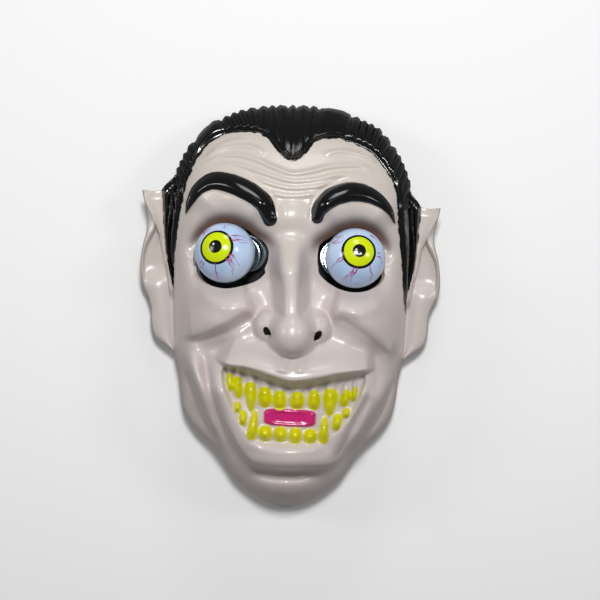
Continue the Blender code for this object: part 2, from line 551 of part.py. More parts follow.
def lining_height(x, y):
    """The face's level for its lining: the lowest of its forms within reach, so the wall keeps its thickness."""
    plain, _ = crown(x, y)
    lowest = np.full(x.shape, np.inf)
    for step in range(8):
        for reach in (0, LINING_REACH / 2, LINING_REACH):
            turn = step * math.tau / 8
            beside_x, beside_y = x + reach * math.cos(turn), y + reach * math.sin(turn)
            lowest = np.minimum(lowest, face_height(beside_x, beside_y) - crown(beside_x, beside_y)[0])
    return plain + lowest


def spread(count):
    """Places from -1 to 1 that crowd towards both ends."""
    even = np.linspace(-1, 1, count)
    return 0.35 * even + 0.65 * np.sin(even * math.pi / 2)


def face_grid(columns, rows):
    """A bmesh grid and its vertices' places over the outline of the face."""
    grid = bmesh.new()
    bmesh.ops.create_grid(grid, x_segments=columns, y_segments=rows, size=1.0)
    across, down = spread(columns + 1), spread(rows + 1)
    for vertex in grid.verts:
        column = round((vertex.co.x + 1) / 2 * columns)
        row = round((vertex.co.y + 1) / 2 * rows)
        a, b = across[column], down[row]
        vertex.co.x = a * math.sqrt(1 - b * b / 2)
        vertex.co.y = b * math.sqrt(1 - a * a / 2)
    flat = np.array([vertex.co[:2] for vertex in grid.verts])
    disc = np.hypot(flat[:, 0], flat[:, 1])
    reach = rim_radius(flat[:, 0], flat[:, 1])
    place = flat * reach[:, None]
    place[disc == 0] = 0
    return grid, place


def face_dome(name, columns, rows, height_of, inset, skirt, kept=None, materials=(), helper=False):
    """A closed dome: a face's level, moved in by inset along its normals, with a skirt below the rim."""
    grid, place = face_grid(columns, rows)
    height = height_of(place[:, 0], place[:, 1])
    for vertex, (x, y), z in zip(grid.verts, place, height):
        vertex.co = (x, y, z)
    grid.normal_update()
    if inset:
        moved = [vertex.co - vertex.normal * inset for vertex in grid.verts]
        for vertex, point in zip(grid.verts, moved):
            vertex.co = point
    edges = [edge for edge in grid.edges if edge.is_boundary]
    drawn = bmesh.ops.extrude_edge_only(grid, edges=edges)["geom"]
    for vertex in (item for item in drawn if isinstance(item, bmesh.types.BMVert)):
        vertex.co.z = -skirt
    bmesh.ops.holes_fill(grid, edges=[edge for edge in grid.edges if edge.is_boundary], sides=0)
    bmesh.ops.triangulate(grid, faces=grid.faces[:])
    bmesh.ops.recalc_face_normals(grid, faces=grid.faces[:])
    made = object_of(name, grid, materials, helper)
    if kept:
        fewer = made.modifiers.new("fewer facets", "DECIMATE")
        fewer.ratio = kept
    return made


def ear(row_of):
    """One ear: a plate with a raised helix, rooted in the side wall of the face."""
    side = row_of["side"]
    down = [row["down"] for row in EAR_SECTIONS]
    across = [row["across"] for row in EAR_PROFILE]
    profile = [row["height"] for row in EAR_PROFILE]
    plate = bmesh.new()
    bmesh.ops.create_grid(plate, x_segments=EAR_COLUMNS, y_segments=EAR_ROWS, size=1.0)
    for vertex in plate.verts:
        share = across[0] + (vertex.co.x + 1) / 2 * (1 - across[0])
        passed = (1 - vertex.co.y) / 2
        root = np.interp(passed, down, [row["root"] for row in EAR_SECTIONS]) * HALF_WIDTH
        reach = np.interp(passed, down, [row["reach"] for row in EAR_SECTIONS]) * EAR_REACH
        helix = np.interp(passed, down, [row["helix"] for row in EAR_SECTIONS])
        relief = np.interp(share, across, profile) * EAR_RELIEF * (0.35 + 0.65 * helix)
        vertex.co = (
            side * (root + (reach if share > 0 else EAR_ROOT) * share),
            row_of["tip"] - passed * row_of["length"],
            EAR_LEVEL + relief - EAR_LEAN * passed,
        )
    drawn = bmesh.ops.extrude_face_region(plate, geom=plate.faces[:], use_keep_orig=True)["geom"]
    for vertex in (item for item in drawn if isinstance(item, bmesh.types.BMVert)):
        vertex.co.z -= EAR_WALL
    bmesh.ops.triangulate(plate, faces=plate.faces[:])
    bmesh.ops.recalc_face_normals(plate, faces=plate.faces[:])
    return object_of(f"ear_{row_of['name']}", plate, helper=True)


def prism(name, half_x, half_y, low, high, centre, turn=0.0, sides=32):
    """An upright elliptical cutter."""
    body = bmesh.new()
    bmesh.ops.create_cone(body, cap_ends=True, segments=sides, radius1=1, radius2=1, depth=1)
    for vertex in body.verts:
        x, y = vertex.co.x * half_x, vertex.co.y * half_y
        vertex.co = (x * math.cos(turn) - y * math.sin(turn), x * math.sin(turn) + y * math.cos(turn),
                     low if vertex.co.z < 0 else high)
    return object_of(name, body, helper=True, location=(*centre, 0.0))


def block(name, size, centre):
    body = bmesh.new()
    bmesh.ops.create_cube(body, size=1)
    bmesh.ops.scale(body, vec=size, verts=body.verts)
    return object_of(name, body, helper=True, location=centre)


def eye_centre(eye):
    return Vector((eye["side"] * EYE_SPACING / 2, EYE_LINE + eye["lift"], EYE_CENTRE_DEPTH))


def look_of(eye):
    """The way that an eye looks, as a unit vector."""
    sideways, upwards = eye["look"]
    return Vector((sideways, upwards, math.sqrt(1 - sideways**2 - upwards**2)))


def spring_foot(eye):
    """Centre of the spring's foot on the cup's floor."""
    centre = eye_centre(eye)
    return Vector((centre.x - eye["side"] * eye["spring_in"], centre.y - 0.001, CUP_BACK + CUP_WALL))


def lining(name, inset):
    """The hollow behind the face, which is also what the cups are trimmed to."""
    return face_dome(name, LINING_COLUMNS, LINING_ROWS, lining_height, inset, 0.008, helper=True)


def eye_opening(eye):
    """The cutter for an eye's opening."""
    centre = eye_centre(eye)
    body = bmesh.new()
    edge = [body.verts.new((x * EYEBALL_DIAMETER / 2, y * EYEBALL_DIAMETER / 2, 0))
            for x, y in OPENINGS[eye["name"]]]
    floor = body.faces.new(edge)
    drawn = bmesh.ops.extrude_face_region(body, geom=[floor], use_keep_orig=True)["geom"]
    for vertex in (item for item in drawn if isinstance(item, bmesh.types.BMVert)):
        vertex.co.z = 2 * FACE_DEPTH
    bmesh.ops.triangulate(body, faces=body.faces[:])
    bmesh.ops.recalc_face_normals(body, faces=body.faces[:])
    return object_of(f"opening_{eye['name']}", body, helper=True, location=(centre.x, centre.y, CUP_BACK))


def mask_shell():
    skin = finish_of("moulded skin", SKIN_COLOUR, 0.28)
    shell = face_dome("mask_shell", SKIN_COLUMNS, SKIN_ROWS, face_height, 0.0, 0.004, SKIN_KEPT, (skin,))
    for row in EARS:
        boolean(shell, ear(row), "UNION")
    boolean(shell, lining("lining", WALL), "DIFFERENCE")
    for eye in EYES:
        boolean(shell, eye_opening(eye), "DIFFERENCE")
        boolean(shell, block(f"strap_slot_{eye['name']}",
                             (0.02, STRAP_SLOT_LENGTH, STRAP_SLOT_WIDTH),
                             (eye["side"] * HALF_WIDTH, STRAP_SLOT_LEVEL, STRAP_SLOT_HEIGHT)), "DIFFERENCE")
    for row in NOSTRILS:
        boolean(shell, prism(f"nostril_{row['name']}", NOSTRIL_WIDTH / 2, NOSTRIL_LENGTH / 2, CUP_BACK,
                             2 * FACE_DEPTH, (row["x"] * HALF_WIDTH, row["y"] * HALF_LENGTH),
                             math.radians(row["turn"]), NOSTRIL_SEGMENTS), "DIFFERENCE")
    boolean(shell, block("below_rim", (1, 1, 0.1), (0, 0, -0.05)), "DIFFERENCE")
    return shell


def eye_cup(eye, seat):
    """The black cup behind the face: a short tube with a floor round the sight hole."""
    plastic = finish_of(f"black plastic {eye['name']}", CUP_COLOUR, 0.5)
    radius = CUP_RADIUS
    centre = Vector((eye["side"] * eye["cup_x"], CUP_LINE + eye["lift"], 0))
    top = EYE_CENTRE_DEPTH + EYEBALL_DIAMETER / 2 + WALL
    body = bmesh.new()
    bmesh.ops.create_cone(body, cap_ends=True, segments=CUP_SEGMENTS, radius1=radius, radius2=radius,
                          depth=top - CUP_BACK)
    cup = object_of(f"eye_cup_{eye['name']}", body, (plastic,),
                    location=(centre.x, centre.y, (top + CUP_BACK) / 2))
    boolean(cup, prism(f"cup_bore_{eye['name']}", radius - CUP_WALL, radius - CUP_WALL,
                       CUP_BACK + CUP_WALL, 2 * top, centre[:2], sides=CUP_SEGMENTS), "DIFFERENCE")
    foot = spring_foot(eye)
    boolean(cup, prism(f"sight_hole_{eye['name']}", SIGHT_HOLE_RADIUS, SIGHT_HOLE_RADIUS,
                       CUP_BACK - CUP_WALL, top, foot[:2], sides=24), "DIFFERENCE")
    boolean(cup, seat, "INTERSECT")
    return cup


def eyeball(eye):
    """A hollow ball, cut open behind, whose open side faces its spring."""
    print_white = finish_of(f"printed eyeball {eye['name']}", EYE_WHITE_COLOUR, 0.12)
    outer = EYEBALL_DIAMETER / 2
    inner = outer - EYEBALL_WALL
    body = bmesh.new()
    points = []
    for radius, steps, order in ((outer, 9, 1), (inner, 6, -1)):
        last = math.acos(-EYEBALL_CUT / radius)
        turns = np.linspace(0, last, steps + 1)[::order]
        points += [(radius * math.sin(turn), 0, radius * math.cos(turn)) for turn in turns]
    verts = [body.verts.new(point) for point in points]
    edges = [body.edges.new(pair) for pair in zip(verts, verts[1:])]
    bmesh.ops.spin(body, geom=verts + edges, axis=(0, 0, 1), cent=(0, 0, 0), angle=math.tau,
                   steps=BALL_SEGMENTS, use_merge=True)
    bmesh.ops.remove_doubles(body, verts=body.verts, dist=1e-6)
    bmesh.ops.dissolve_degenerate(body, edges=body.edges, dist=1e-6)
    bmesh.ops.recalc_face_normals(body, faces=body.faces[:])
    ball = object_of(f"eyeball_{eye['name']}", body, (print_white,), location=eye_centre(eye))
    ball.rotation_mode = "QUATERNION"
    ball.rotation_quaternion = look_of(eye).to_track_quat("Z", "Y")
    ball.data.shade_smooth()
    return ball


def spring(eye):
    """A flat-wire coil that leans from the cup's floor to the ball's open rim."""
    steel = finish_of(f"spring steel {eye['name']}", STEEL_COLOUR, 0.15, 1.0)
    look = look_of(eye)
    # A flat turn climbs by one wire and a gap, so that it clears itself
    turn_climb = WIRE_THICKNESS + WIRE_GAP
    lift = SEAT_GAP + WIRE_THICKNESS / 2 + turn_climb
    foot = spring_foot(eye) + Vector((0, 0, lift))
    head = eye_centre(eye) - look * (EYEBALL_CUT + lift)
    middle = foot + Vector((0, 0, 0.5 * (head.z - foot.z)))
    body = bmesh.new()
    steps = SPRING_TURNS * SPRING_STEPS
    last = None
    for step in range(steps + 1):
        share = step / steps
        # The first and last turns lie flat on their seats
        flat = 1 / SPRING_TURNS
        rise = min(max((share - flat) / (1 - 2 * flat), 0), 1)
        spot = foot * (1 - rise) ** 2 + middle * 2 * rise * (1 - rise) + head * rise**2
        axis = Vector((0, 0, 1)).lerp(look, rise).normalized()
        out = Vector((1, 0, 0)) - axis * axis.x
        out.normalize()
        beside = axis.cross(out)
        turn = math.tau * step / SPRING_STEPS
        ray = out * math.cos(turn) + beside * math.sin(turn)
        climb = turn_climb * (min(share / flat, 1) - 1 + max((share - 1 + flat) / flat, 0))
        ring = [body.verts.new(spot + ray * (SPRING_RADIUS + across * WIRE_WIDTH / 2)
                               + axis * (climb + up * WIRE_THICKNESS / 2))
                for across, up in ((-1, -1), (1, -1), (1, 1), (-1, 1))]
        if last is None:
            body.faces.new(ring)
        else:
            for index in range(4):
                follow = (index + 1) % 4
                body.faces.new((last[index], last[follow], ring[follow], ring[index]))
        last = ring
    body.faces.new(last[::-1])
    bmesh.ops.recalc_face_normals(body, faces=body.faces[:])
    return object_of(f"spring_{eye['name']}", body, (steel,))


def main():
    clear_scene()
    mask_shell()
    seat = lining("cup_seat", WALL + SEAT_GAP)
    for eye in EYES:
        eye_cup(eye, seat)
        eyeball(eye)
        spring(eye)


main()
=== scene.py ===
"""Dresses the horror mask: a glossy painted vampire face with printed eyeballs on flat-wire springs.

The mask lies face up: X runs across the face, Y from chin to hair, Z out of the face.
Left and right are the viewer's.
"""

import math

import bmesh
import bpy
import numpy as np
from bpy.props import FloatProperty, FloatVectorProperty, IntProperty, PointerProperty
from bpy.types import Operator, Panel, PropertyGroup
from mathutils import Matrix, Vector


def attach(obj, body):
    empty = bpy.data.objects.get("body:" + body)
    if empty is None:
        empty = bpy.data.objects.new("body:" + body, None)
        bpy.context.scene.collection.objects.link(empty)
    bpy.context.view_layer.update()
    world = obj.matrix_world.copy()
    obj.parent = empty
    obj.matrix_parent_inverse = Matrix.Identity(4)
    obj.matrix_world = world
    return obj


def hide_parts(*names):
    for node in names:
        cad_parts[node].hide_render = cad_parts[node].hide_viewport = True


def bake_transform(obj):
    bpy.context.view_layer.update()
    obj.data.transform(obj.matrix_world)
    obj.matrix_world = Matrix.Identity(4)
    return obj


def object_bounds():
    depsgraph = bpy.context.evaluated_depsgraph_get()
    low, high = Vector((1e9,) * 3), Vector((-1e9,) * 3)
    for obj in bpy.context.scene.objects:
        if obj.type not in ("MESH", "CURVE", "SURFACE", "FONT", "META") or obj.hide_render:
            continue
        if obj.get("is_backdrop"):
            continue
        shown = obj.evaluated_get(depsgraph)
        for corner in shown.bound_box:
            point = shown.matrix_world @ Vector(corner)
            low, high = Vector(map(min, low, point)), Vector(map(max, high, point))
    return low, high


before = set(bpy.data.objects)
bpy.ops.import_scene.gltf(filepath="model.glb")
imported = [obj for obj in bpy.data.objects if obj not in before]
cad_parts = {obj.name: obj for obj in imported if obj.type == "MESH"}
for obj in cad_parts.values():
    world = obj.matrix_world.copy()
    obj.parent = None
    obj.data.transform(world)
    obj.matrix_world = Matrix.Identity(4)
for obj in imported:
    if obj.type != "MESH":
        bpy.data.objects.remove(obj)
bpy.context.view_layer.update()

bl_info = {
    "name": "Horror mask",
    "version": (1, 0, 0),
    "blender": (4, 5, 0),
    "location": "View3D > Sidebar > Mask",
    "description": "Builds a moulded vampire mask with eyeballs on springs",
    "category": "Object",
}

# Half outline of the face from hair top to chin: height and half width, as shares of the halves
OUTLINE = (
    {"height": 1.000, "width": 0.00},
    {"height": 0.993, "width": 0.22},
    {"height": 0.970, "width": 0.42},
    {"height": 0.930, "width": 0.57},
    {"height": 0.890, "width": 0.70},
    {"height": 0.811, "width": 0.81},
    {"height": 0.731, "width": 0.89},
    {"height": 0.612, "width": 0.96},
    {"height": 0.450, "width": 0.99},
    {"height": 0.284, "width": 1.00},
    {"height": 0.035, "width": 0.97},
    {"height": -0.224, "width": 0.94},
    {"height": -0.343, "width": 0.90},
    {"height": -0.463, "width": 0.875},
    {"height": -0.542, "width": 0.84},
    {"height": -0.622, "width": 0.75},
    {"height": -0.701, "width": 0.62},
    {"height": -0.781, "width": 0.52},
    {"height": -0.861, "width": 0.43},
    {"height": -0.940, "width": 0.28},
    {"height": -0.985, "width": 0.13},
    {"height": -1.000, "width": 0.00},
)

# Level of the face along its middle, without the nose, as a share of its depth
LEVELS = (
    {"height": 1.00, "level": 0.80},
    {"height": 0.80, "level": 0.92},
    {"height": 0.60, "level": 1.00},
    {"height": 0.45, "level": 1.02},
    {"height": 0.25, "level": 0.93},
    {"height": 0.00, "level": 0.92},
    {"height": -0.20, "level": 1.02},
    {"height": -0.35, "level": 1.10},
    {"height": -0.60, "level": 1.10},
    {"height": -0.75, "level": 1.04},
    {"height": -0.88, "level": 1.02},
    {"height": -1.00, "level": 0.90},
)

# Broad forms: centre, half sizes and turn in degrees, and how far each stands out or in
MOUNDS = (
    {"name": "left socket", "x": -0.47, "y": 0.26, "wide": 0.42, "tall": 0.25, "turn": 0, "rise": -0.15},
    {"name": "right socket", "x": 0.48, "y": 0.25, "wide": 0.42, "tall": 0.25, "turn": 0, "rise": -0.15},
    {"name": "left cheek", "x": -0.55, "y": -0.02, "wide": 0.40, "tall": 0.20, "turn": -8, "rise": 0.17},
    {"name": "right cheek", "x": 0.62, "y": -0.03, "wide": 0.40, "tall": 0.21, "turn": 10, "rise": 0.17},
    {"name": "upper lip", "x": 0.04, "y": -0.25, "wide": 0.50, "tall": 0.14, "turn": 0, "rise": 0.06},
    {"name": "lower lip", "x": 0.05, "y": -0.72, "wide": 0.38, "tall": 0.10, "turn": 0, "rise": 0.06},
    {"name": "chin", "x": -0.02, "y": -0.89, "wide": 0.34, "tall": 0.13, "turn": 0, "rise": 0.07},
    {"name": "left jaw hollow", "x": -0.72, "y": -0.55, "wide": 0.30, "tall": 0.26, "turn": 25,
     "rise": -0.12},
    {"name": "right jaw hollow", "x": 0.76, "y": -0.58, "wide": 0.30, "tall": 0.26, "turn": -25,
     "rise": -0.12},
    {"name": "left muzzle hollow", "x": -0.56, "y": -0.21, "wide": 0.26, "tall": 0.09, "turn": 20,
     "rise": -0.06},
    {"name": "right muzzle hollow", "x": 0.62, "y": -0.24, "wide": 0.24, "tall": 0.09, "turn": -30,
     "rise": -0.05},
    {"name": "glabella", "x": 0.00, "y": 0.43, "wide": 0.20, "tall": 0.12, "turn": 0, "rise": 0.05},
)

# Round forms: centre, radius, level of the centre and width of the soft join with what is there
KNOBS = (
    {"name": "nose tip", "x": 0.026, "y": -0.128, "radius": 0.14, "stretch": 1.10, "level": 1.27,
     "blend": 0.08},
    {"name": "left nostril wing", "x": -0.165, "y": -0.092, "radius": 0.105, "stretch": 1.12, "level": 0.99,
     "blend": 0.1},
    {"name": "right nostril wing", "x": 0.220, "y": -0.1, "radius": 0.105, "stretch": 1.12, "level": 0.99,
     "blend": 0.1},
)
NOSTRILS = (
    {"name": "left", "x": -0.164, "y": -0.122, "turn": 28},
    {"name": "right", "x": 0.224, "y": -0.135, "turn": -28},
)

# Folds and ridges: path, reach to the left and right of its travel, how far each stands out,
# and the share of the path over which each end fades; a power over 2 makes the top flatter
FOLDS = (
    {"name": "nose bridge", "left": 0.108, "right": 0.112, "rise": 0.40, "power": 3.4, "fade": (0.5, 0.0),
     "path": ((0.00, 0.38), (0.00, 0.22), (0.012, 0.08), (0.025, -0.12))},
    {"name": "left brow bone", "left": 0.20, "right": 0.13, "rise": 0.09, "fade": (0.18, 0.18),
     "path": ((-0.16, 0.42), (-0.30, 0.50), (-0.50, 0.58), (-0.68, 0.56), (-0.80, 0.46))},
    {"name": "right brow bone", "left": 0.13, "right": 0.20, "rise": 0.09, "fade": (0.18, 0.18),
     "path": ((0.20, 0.42), (0.34, 0.50), (0.50, 0.54), (0.68, 0.50), (0.82, 0.40))},
    {"name": "left eye bag", "left": 0.10, "right": 0.06, "rise": 0.045, "fade": (0.25, 0.25),
     "path": ((-0.74, 0.09), (-0.60, 0.03), (-0.42, 0.00), (-0.22, 0.05))},
    {"name": "right eye bag", "left": 0.10, "right": 0.06, "rise": 0.045, "fade": (0.25, 0.25),
     "path": ((0.24, 0.04), (0.44, -0.01), (0.62, 0.00), (0.76, 0.06))},
    {"name": "left cheek fold", "left": 0.18, "right": 0.06, "rise": 0.13, "fade": (0.18, 0.12),
     "path": ((-0.86, -0.14), (-0.70, -0.13), (-0.52, -0.08), (-0.38, -0.03), (-0.26, 0.00))},
    {"name": "right cheek fold", "left": 0.18, "right": 0.06, "rise": 0.13, "fade": (0.12, 0.18),
     "path": ((0.31, -0.02), (0.44, -0.04), (0.57, -0.09), (0.74, -0.17), (0.88, -0.22))},
    {"name": "left cheek crease", "left": 0.030, "right": 0.045, "rise": -0.035, "fade": (0.2, 0.25),
     "path": ((-0.250, -0.020), (-0.330, -0.070), (-0.435, -0.112), (-0.560, -0.140), (-0.715, -0.170),
              (-0.800, -0.180))},
    {"name": "right cheek crease", "left": 0.045, "right": 0.030, "rise": -0.035, "fade": (0.2, 0.25),
     "path": ((0.310, -0.030), (0.445, -0.062), (0.575, -0.117), (0.733, -0.197), (0.800, -0.240))},
    {"name": "left philtrum ridge", "left": 0.045, "right": 0.045, "rise": 0.030, "fade": (0.3, 0.2),
     "path": ((-0.030, -0.23), (-0.035, -0.27), (-0.045, -0.31))},
    {"name": "right philtrum ridge", "left": 0.045, "right": 0.045, "rise": 0.030, "fade": (0.3, 0.2),
     "path": ((0.090, -0.23), (0.092, -0.27), (0.095, -0.31))},
    {"name": "upper lip edge", "left": 0.15, "right": 0.022, "rise": 0.19, "fade": (0.12, 0.12),
     "path": ((-0.57, -0.235), (-0.46, -0.270), (-0.29, -0.285), (-0.11, -0.320), (0.03, -0.342),
              (0.20, -0.330), (0.38, -0.305), (0.58, -0.290), (0.69, -0.285))},
    {"name": "lower lip rim", "left": 0.048, "right": 0.16, "rise": 0.16, "fade": (0.10, 0.10),
     "path": ((0.66, -0.30), (0.64, -0.41), (0.57, -0.53), (0.46, -0.66), (0.36, -0.735), (0.10, -0.755),
              (-0.09, -0.755), (-0.25, -0.735), (-0.35, -0.67), (-0.47, -0.54), (-0.55, -0.41),
              (-0.58, -0.26))},
    {"name": "inner lower lip", "left": 0.04, "right": 0.04, "rise": 0.028, "fade": (0.25, 0.25),
     "path": ((0.36, -0.640), (0.20, -0.672), (0.00, -0.680), (-0.20, -0.672), (-0.34, -0.630))},
    {"name": "left jaw fold", "left": 0.08, "right": 0.075, "rise": 0.16, "fade": (0.30, 0.30),
     "path": ((-0.770, -0.160), (-0.740, -0.275), (-0.660, -0.417), (-0.562, -0.587), (-0.440, -0.740))},
    {"name": "left jaw groove", "left": 0.045, "right": 0.045, "rise": -0.1, "fade": (0.30, 0.35),
     "path": ((-0.700, -0.180), (-0.645, -0.300), (-0.575, -0.440), (-0.490, -0.615), (-0.370, -0.780))},
    {"name": "left outer jaw groove", "left": 0.035, "right": 0.035, "rise": -0.065, "fade": (0.2, 0.25),
     "path": ((-0.820, -0.300), (-0.740, -0.446), (-0.640, -0.578), (-0.540, -0.680))},
    {"name": "right jaw fold", "left": 0.075, "right": 0.08, "rise": 0.14, "fade": (0.30, 0.30),
     "path": ((0.780, -0.320), (0.690, -0.460), (0.590, -0.590), (0.480, -0.730))},
    {"name": "right jaw groove", "left": 0.045, "right": 0.045, "rise": -0.11, "fade": (0.30, 0.35),
     "path": ((0.720, -0.270), (0.640, -0.420), (0.540, -0.547), (0.420, -0.706), (0.350, -0.770))},
    {"name": "right outer jaw groove", "left": 0.035, "right": 0.035, "rise": -0.07, "fade": (0.2, 0.25),
     "path": ((0.860, -0.340), (0.800, -0.430), (0.710, -0.540), (0.600, -0.660))},
    {"name": "chin crease", "left": 0.07, "right": 0.05, "rise": -0.085, "fade": (0.30, 0.30),
     "path": ((-0.32, -0.79), (-0.14, -0.81), (0.10, -0.81), (0.34, -0.80))},
    {"name": "forehead crease 1", "left": 0.02, "right": 0.02, "rise": 0.033, "fade": (0.2, 0.2),
     "path": ((-0.74, 0.70), (-0.52, 0.765), (-0.33, 0.77), (-0.20, 0.73))},
    {"name": "forehead crease 2", "left": 0.02, "right": 0.02, "rise": 0.043, "fade": (0.18, 0.18),
     "path": ((-0.76, 0.66), (-0.56, 0.72), (-0.36, 0.72), (-0.16, 0.67), (0.00, 0.635), (0.16, 0.65),
              (0.31, 0.675), (0.53, 0.685), (0.68, 0.65))},
    {"name": "forehead crease 3", "left": 0.02, "right": 0.02, "rise": 0.043, "fade": (0.18, 0.18),
     "path": ((-0.62, 0.685), (-0.40, 0.675), (-0.18, 0.63), (0.00, 0.60), (0.20, 0.61), (0.36, 0.635),
              (0.60, 0.64))},
    {"name": "forehead crease 4", "left": 0.02, "right": 0.02, "rise": 0.040, "fade": (0.18, 0.18),
     "path": ((-0.30, 0.62), (-0.16, 0.585), (0.00, 0.565), (0.18, 0.575), (0.34, 0.60))},
    {"name": "forehead crease 5", "left": 0.02, "right": 0.02, "rise": 0.035, "fade": (0.2, 0.2),
     "path": ((-0.18, 0.545), (-0.06, 0.53), (0.08, 0.53), (0.20, 0.545))},
    {"name": "forehead crease 6", "left": 0.02, "right": 0.02, "rise": 0.033, "fade": (0.2, 0.2),
     "path": ((0.22, 0.73), (0.38, 0.755), (0.54, 0.74), (0.68, 0.70))},
    {"name": "forehead crease 7", "left": 0.022, "right": 0.022, "rise": 0.022, "fade": (0.2, 0.2),
     "path": ((-0.68, 0.735), (-0.50, 0.795), (-0.34, 0.800))},
    {"name": "frown line", "left": 0.016, "right": 0.030, "rise": -0.030, "fade": (0.2, 0.2),
     "path": ((0.165, 0.38), (0.155, 0.46), (0.200, 0.53), (0.300, 0.585), (0.450, 0.625))},
    {"name": "frown arc 1", "left": 0.012, "right": 0.012, "rise": 0.016, "fade": (0.25, 0.25),
     "path": ((-0.120, 0.48), (-0.085, 0.44), (-0.085, 0.39), (-0.110, 0.35))},
    {"name": "frown arc 2", "left": 0.012, "right": 0.012, "rise": 0.016, "fade": (0.25, 0.25),
     "path": ((-0.085, 0.49), (-0.045, 0.44), (-0.045, 0.39), (-0.070, 0.34))},
)

# Brows: the middle line and its half width, as shares of the half sizes
BROWS = (
    {"name": "left", "path": ((-0.160, 0.415), (-0.21, 0.488), (-0.33, 0.545), (-0.47, 0.582),
                              (-0.61, 0.595), (-0.72, 0.560), (-0.795, 0.495), (-0.825, 0.445)),
     "half": (0.056, 0.072, 0.080, 0.078, 0.072, 0.056, 0.034, 0.008)},
    {"name": "right", "path": ((0.205, 0.425), (0.225, 0.468), (0.31, 0.520), (0.43, 0.548),
                               (0.55, 0.548), (0.67, 0.520), (0.765, 0.470), (0.815, 0.415)),
     "half": (0.046, 0.062, 0.078, 0.080, 0.076, 0.056, 0.034, 0.008)},
)

# Edge of the hair from one sideburn's tip over the peak to the other's
HAIRLINE = (
    (-0.94, 0.02), (-0.92, 0.26), (-0.88, 0.43), (-0.84, 0.55), (-0.80, 0.64), (-0.73, 0.74),
    (-0.62, 0.81), (-0.47, 0.845), (-0.28, 0.84), (-0.18, 0.80), (-0.09, 0.73), (0.00, 0.70),
    (0.10, 0.73), (0.16, 0.785), (0.26, 0.815), (0.35, 0.82), (0.47, 0.80), (0.59, 0.77),
    (0.68, 0.72), (0.77, 0.64), (0.82, 0.57), (0.85, 0.38), (0.88, 0.23), (0.90, 0.09), (0.93, -0.03),
)

# The open mouth, sunk behind the lips, and the teeth and tongue that stand up in it
MOUTH = (
    (-0.50, -0.285), (-0.30, -0.308), (-0.11, -0.345), (0.03, -0.366), (0.18, -0.355), (0.38, -0.328),
    (0.60, -0.312), (0.58, -0.41), (0.50, -0.52), (0.38, -0.61), (0.22, -0.655), (0.00, -0.662),
    (-0.20, -0.655), (-0.34, -0.60), (-0.44, -0.48), (-0.51, -0.37),
)
TEETH = (
    {"x": -0.445, "y": -0.360, "wide": 0.031, "tall": 0.045, "turn": 8, "point": 0.0},
    {"x": -0.385, "y": -0.385, "wide": 0.037, "tall": 0.054, "turn": 5, "point": 0.0},
    {"x": -0.285, "y": -0.430, "wide": 0.044, "tall": 0.073, "turn": 4, "point": 0.6},
    {"x": -0.175, "y": -0.430, "wide": 0.053, "tall": 0.051, "turn": 0, "point": 0.0},
    {"x": -0.060, "y": -0.443, "wide": 0.053, "tall": 0.048, "turn": 0, "point": 0.0},
    {"x": 0.075, "y": -0.443, "wide": 0.056, "tall": 0.044, "turn": 0, "point": 0.0},
    {"x": 0.205, "y": -0.440, "wide": 0.050, "tall": 0.049, "turn": 0, "point": 0.0},
    {"x": 0.330, "y": -0.450, "wide": 0.055, "tall": 0.067, "turn": -3, "point": 0.5},
    {"x": 0.445, "y": -0.430, "wide": 0.040, "tall": 0.043, "turn": -14, "point": 0.0},
    {"x": 0.515, "y": -0.408, "wide": 0.026, "tall": 0.037, "turn": -10, "point": 0.0},
    {"x": -0.385, "y": -0.478, "wide": 0.028, "tall": 0.027, "turn": 0, "point": 0.0},
    {"x": -0.340, "y": -0.530, "wide": 0.032, "tall": 0.037, "turn": 0, "point": 0.0},
    {"x": -0.260, "y": -0.563, "wide": 0.037, "tall": 0.073, "turn": -8, "point": -0.6},
    {"x": -0.165, "y": -0.602, "wide": 0.050, "tall": 0.039, "turn": 0, "point": 0.0},
    {"x": -0.050, "y": -0.604, "wide": 0.052, "tall": 0.039, "turn": 0, "point": 0.0},
    {"x": 0.065, "y": -0.610, "wide": 0.050, "tall": 0.041, "turn": 0, "point": 0.0},
    {"x": 0.180, "y": -0.612, "wide": 0.052, "tall": 0.037, "turn": 0, "point": 0.0},
    {"x": 0.285, "y": -0.582, "wide": 0.037, "tall": 0.067, "turn": -3, "point": -0.5},
    {"x": 0.385, "y": -0.545, "wide": 0.040, "tall": 0.041, "turn": -10, "point": 0.0},
    {"x": 0.455, "y": -0.500, "wide": 0.031, "tall": 0.026, "turn": -10, "point": 0.0},
)
UPPER_TEETH = 10
TONGUE = {"x": 0.020, "y": -0.525, "wide": 0.205, "tall": 0.041, "turn": -2, "point": 0.0}

# How far the small forms stand out, as shares of the depth
MOUTH_SINK = 0.088
TOOTH_RISE = 0.080
TONGUE_RISE = 0.036
ROOT_RISE = 0.040
BROW_RISE = 0.05
HAIR_RISE = 0.075

# The ears aren't quite level: tip's height along the face, and length down to the lobe, in metres
EARS = (
    {"name": "left", "side": -1, "tip": 0.0790, "length": 0.1110},
    {"name": "right", "side": 1, "tip": 0.0700, "length": 0.1050},
)
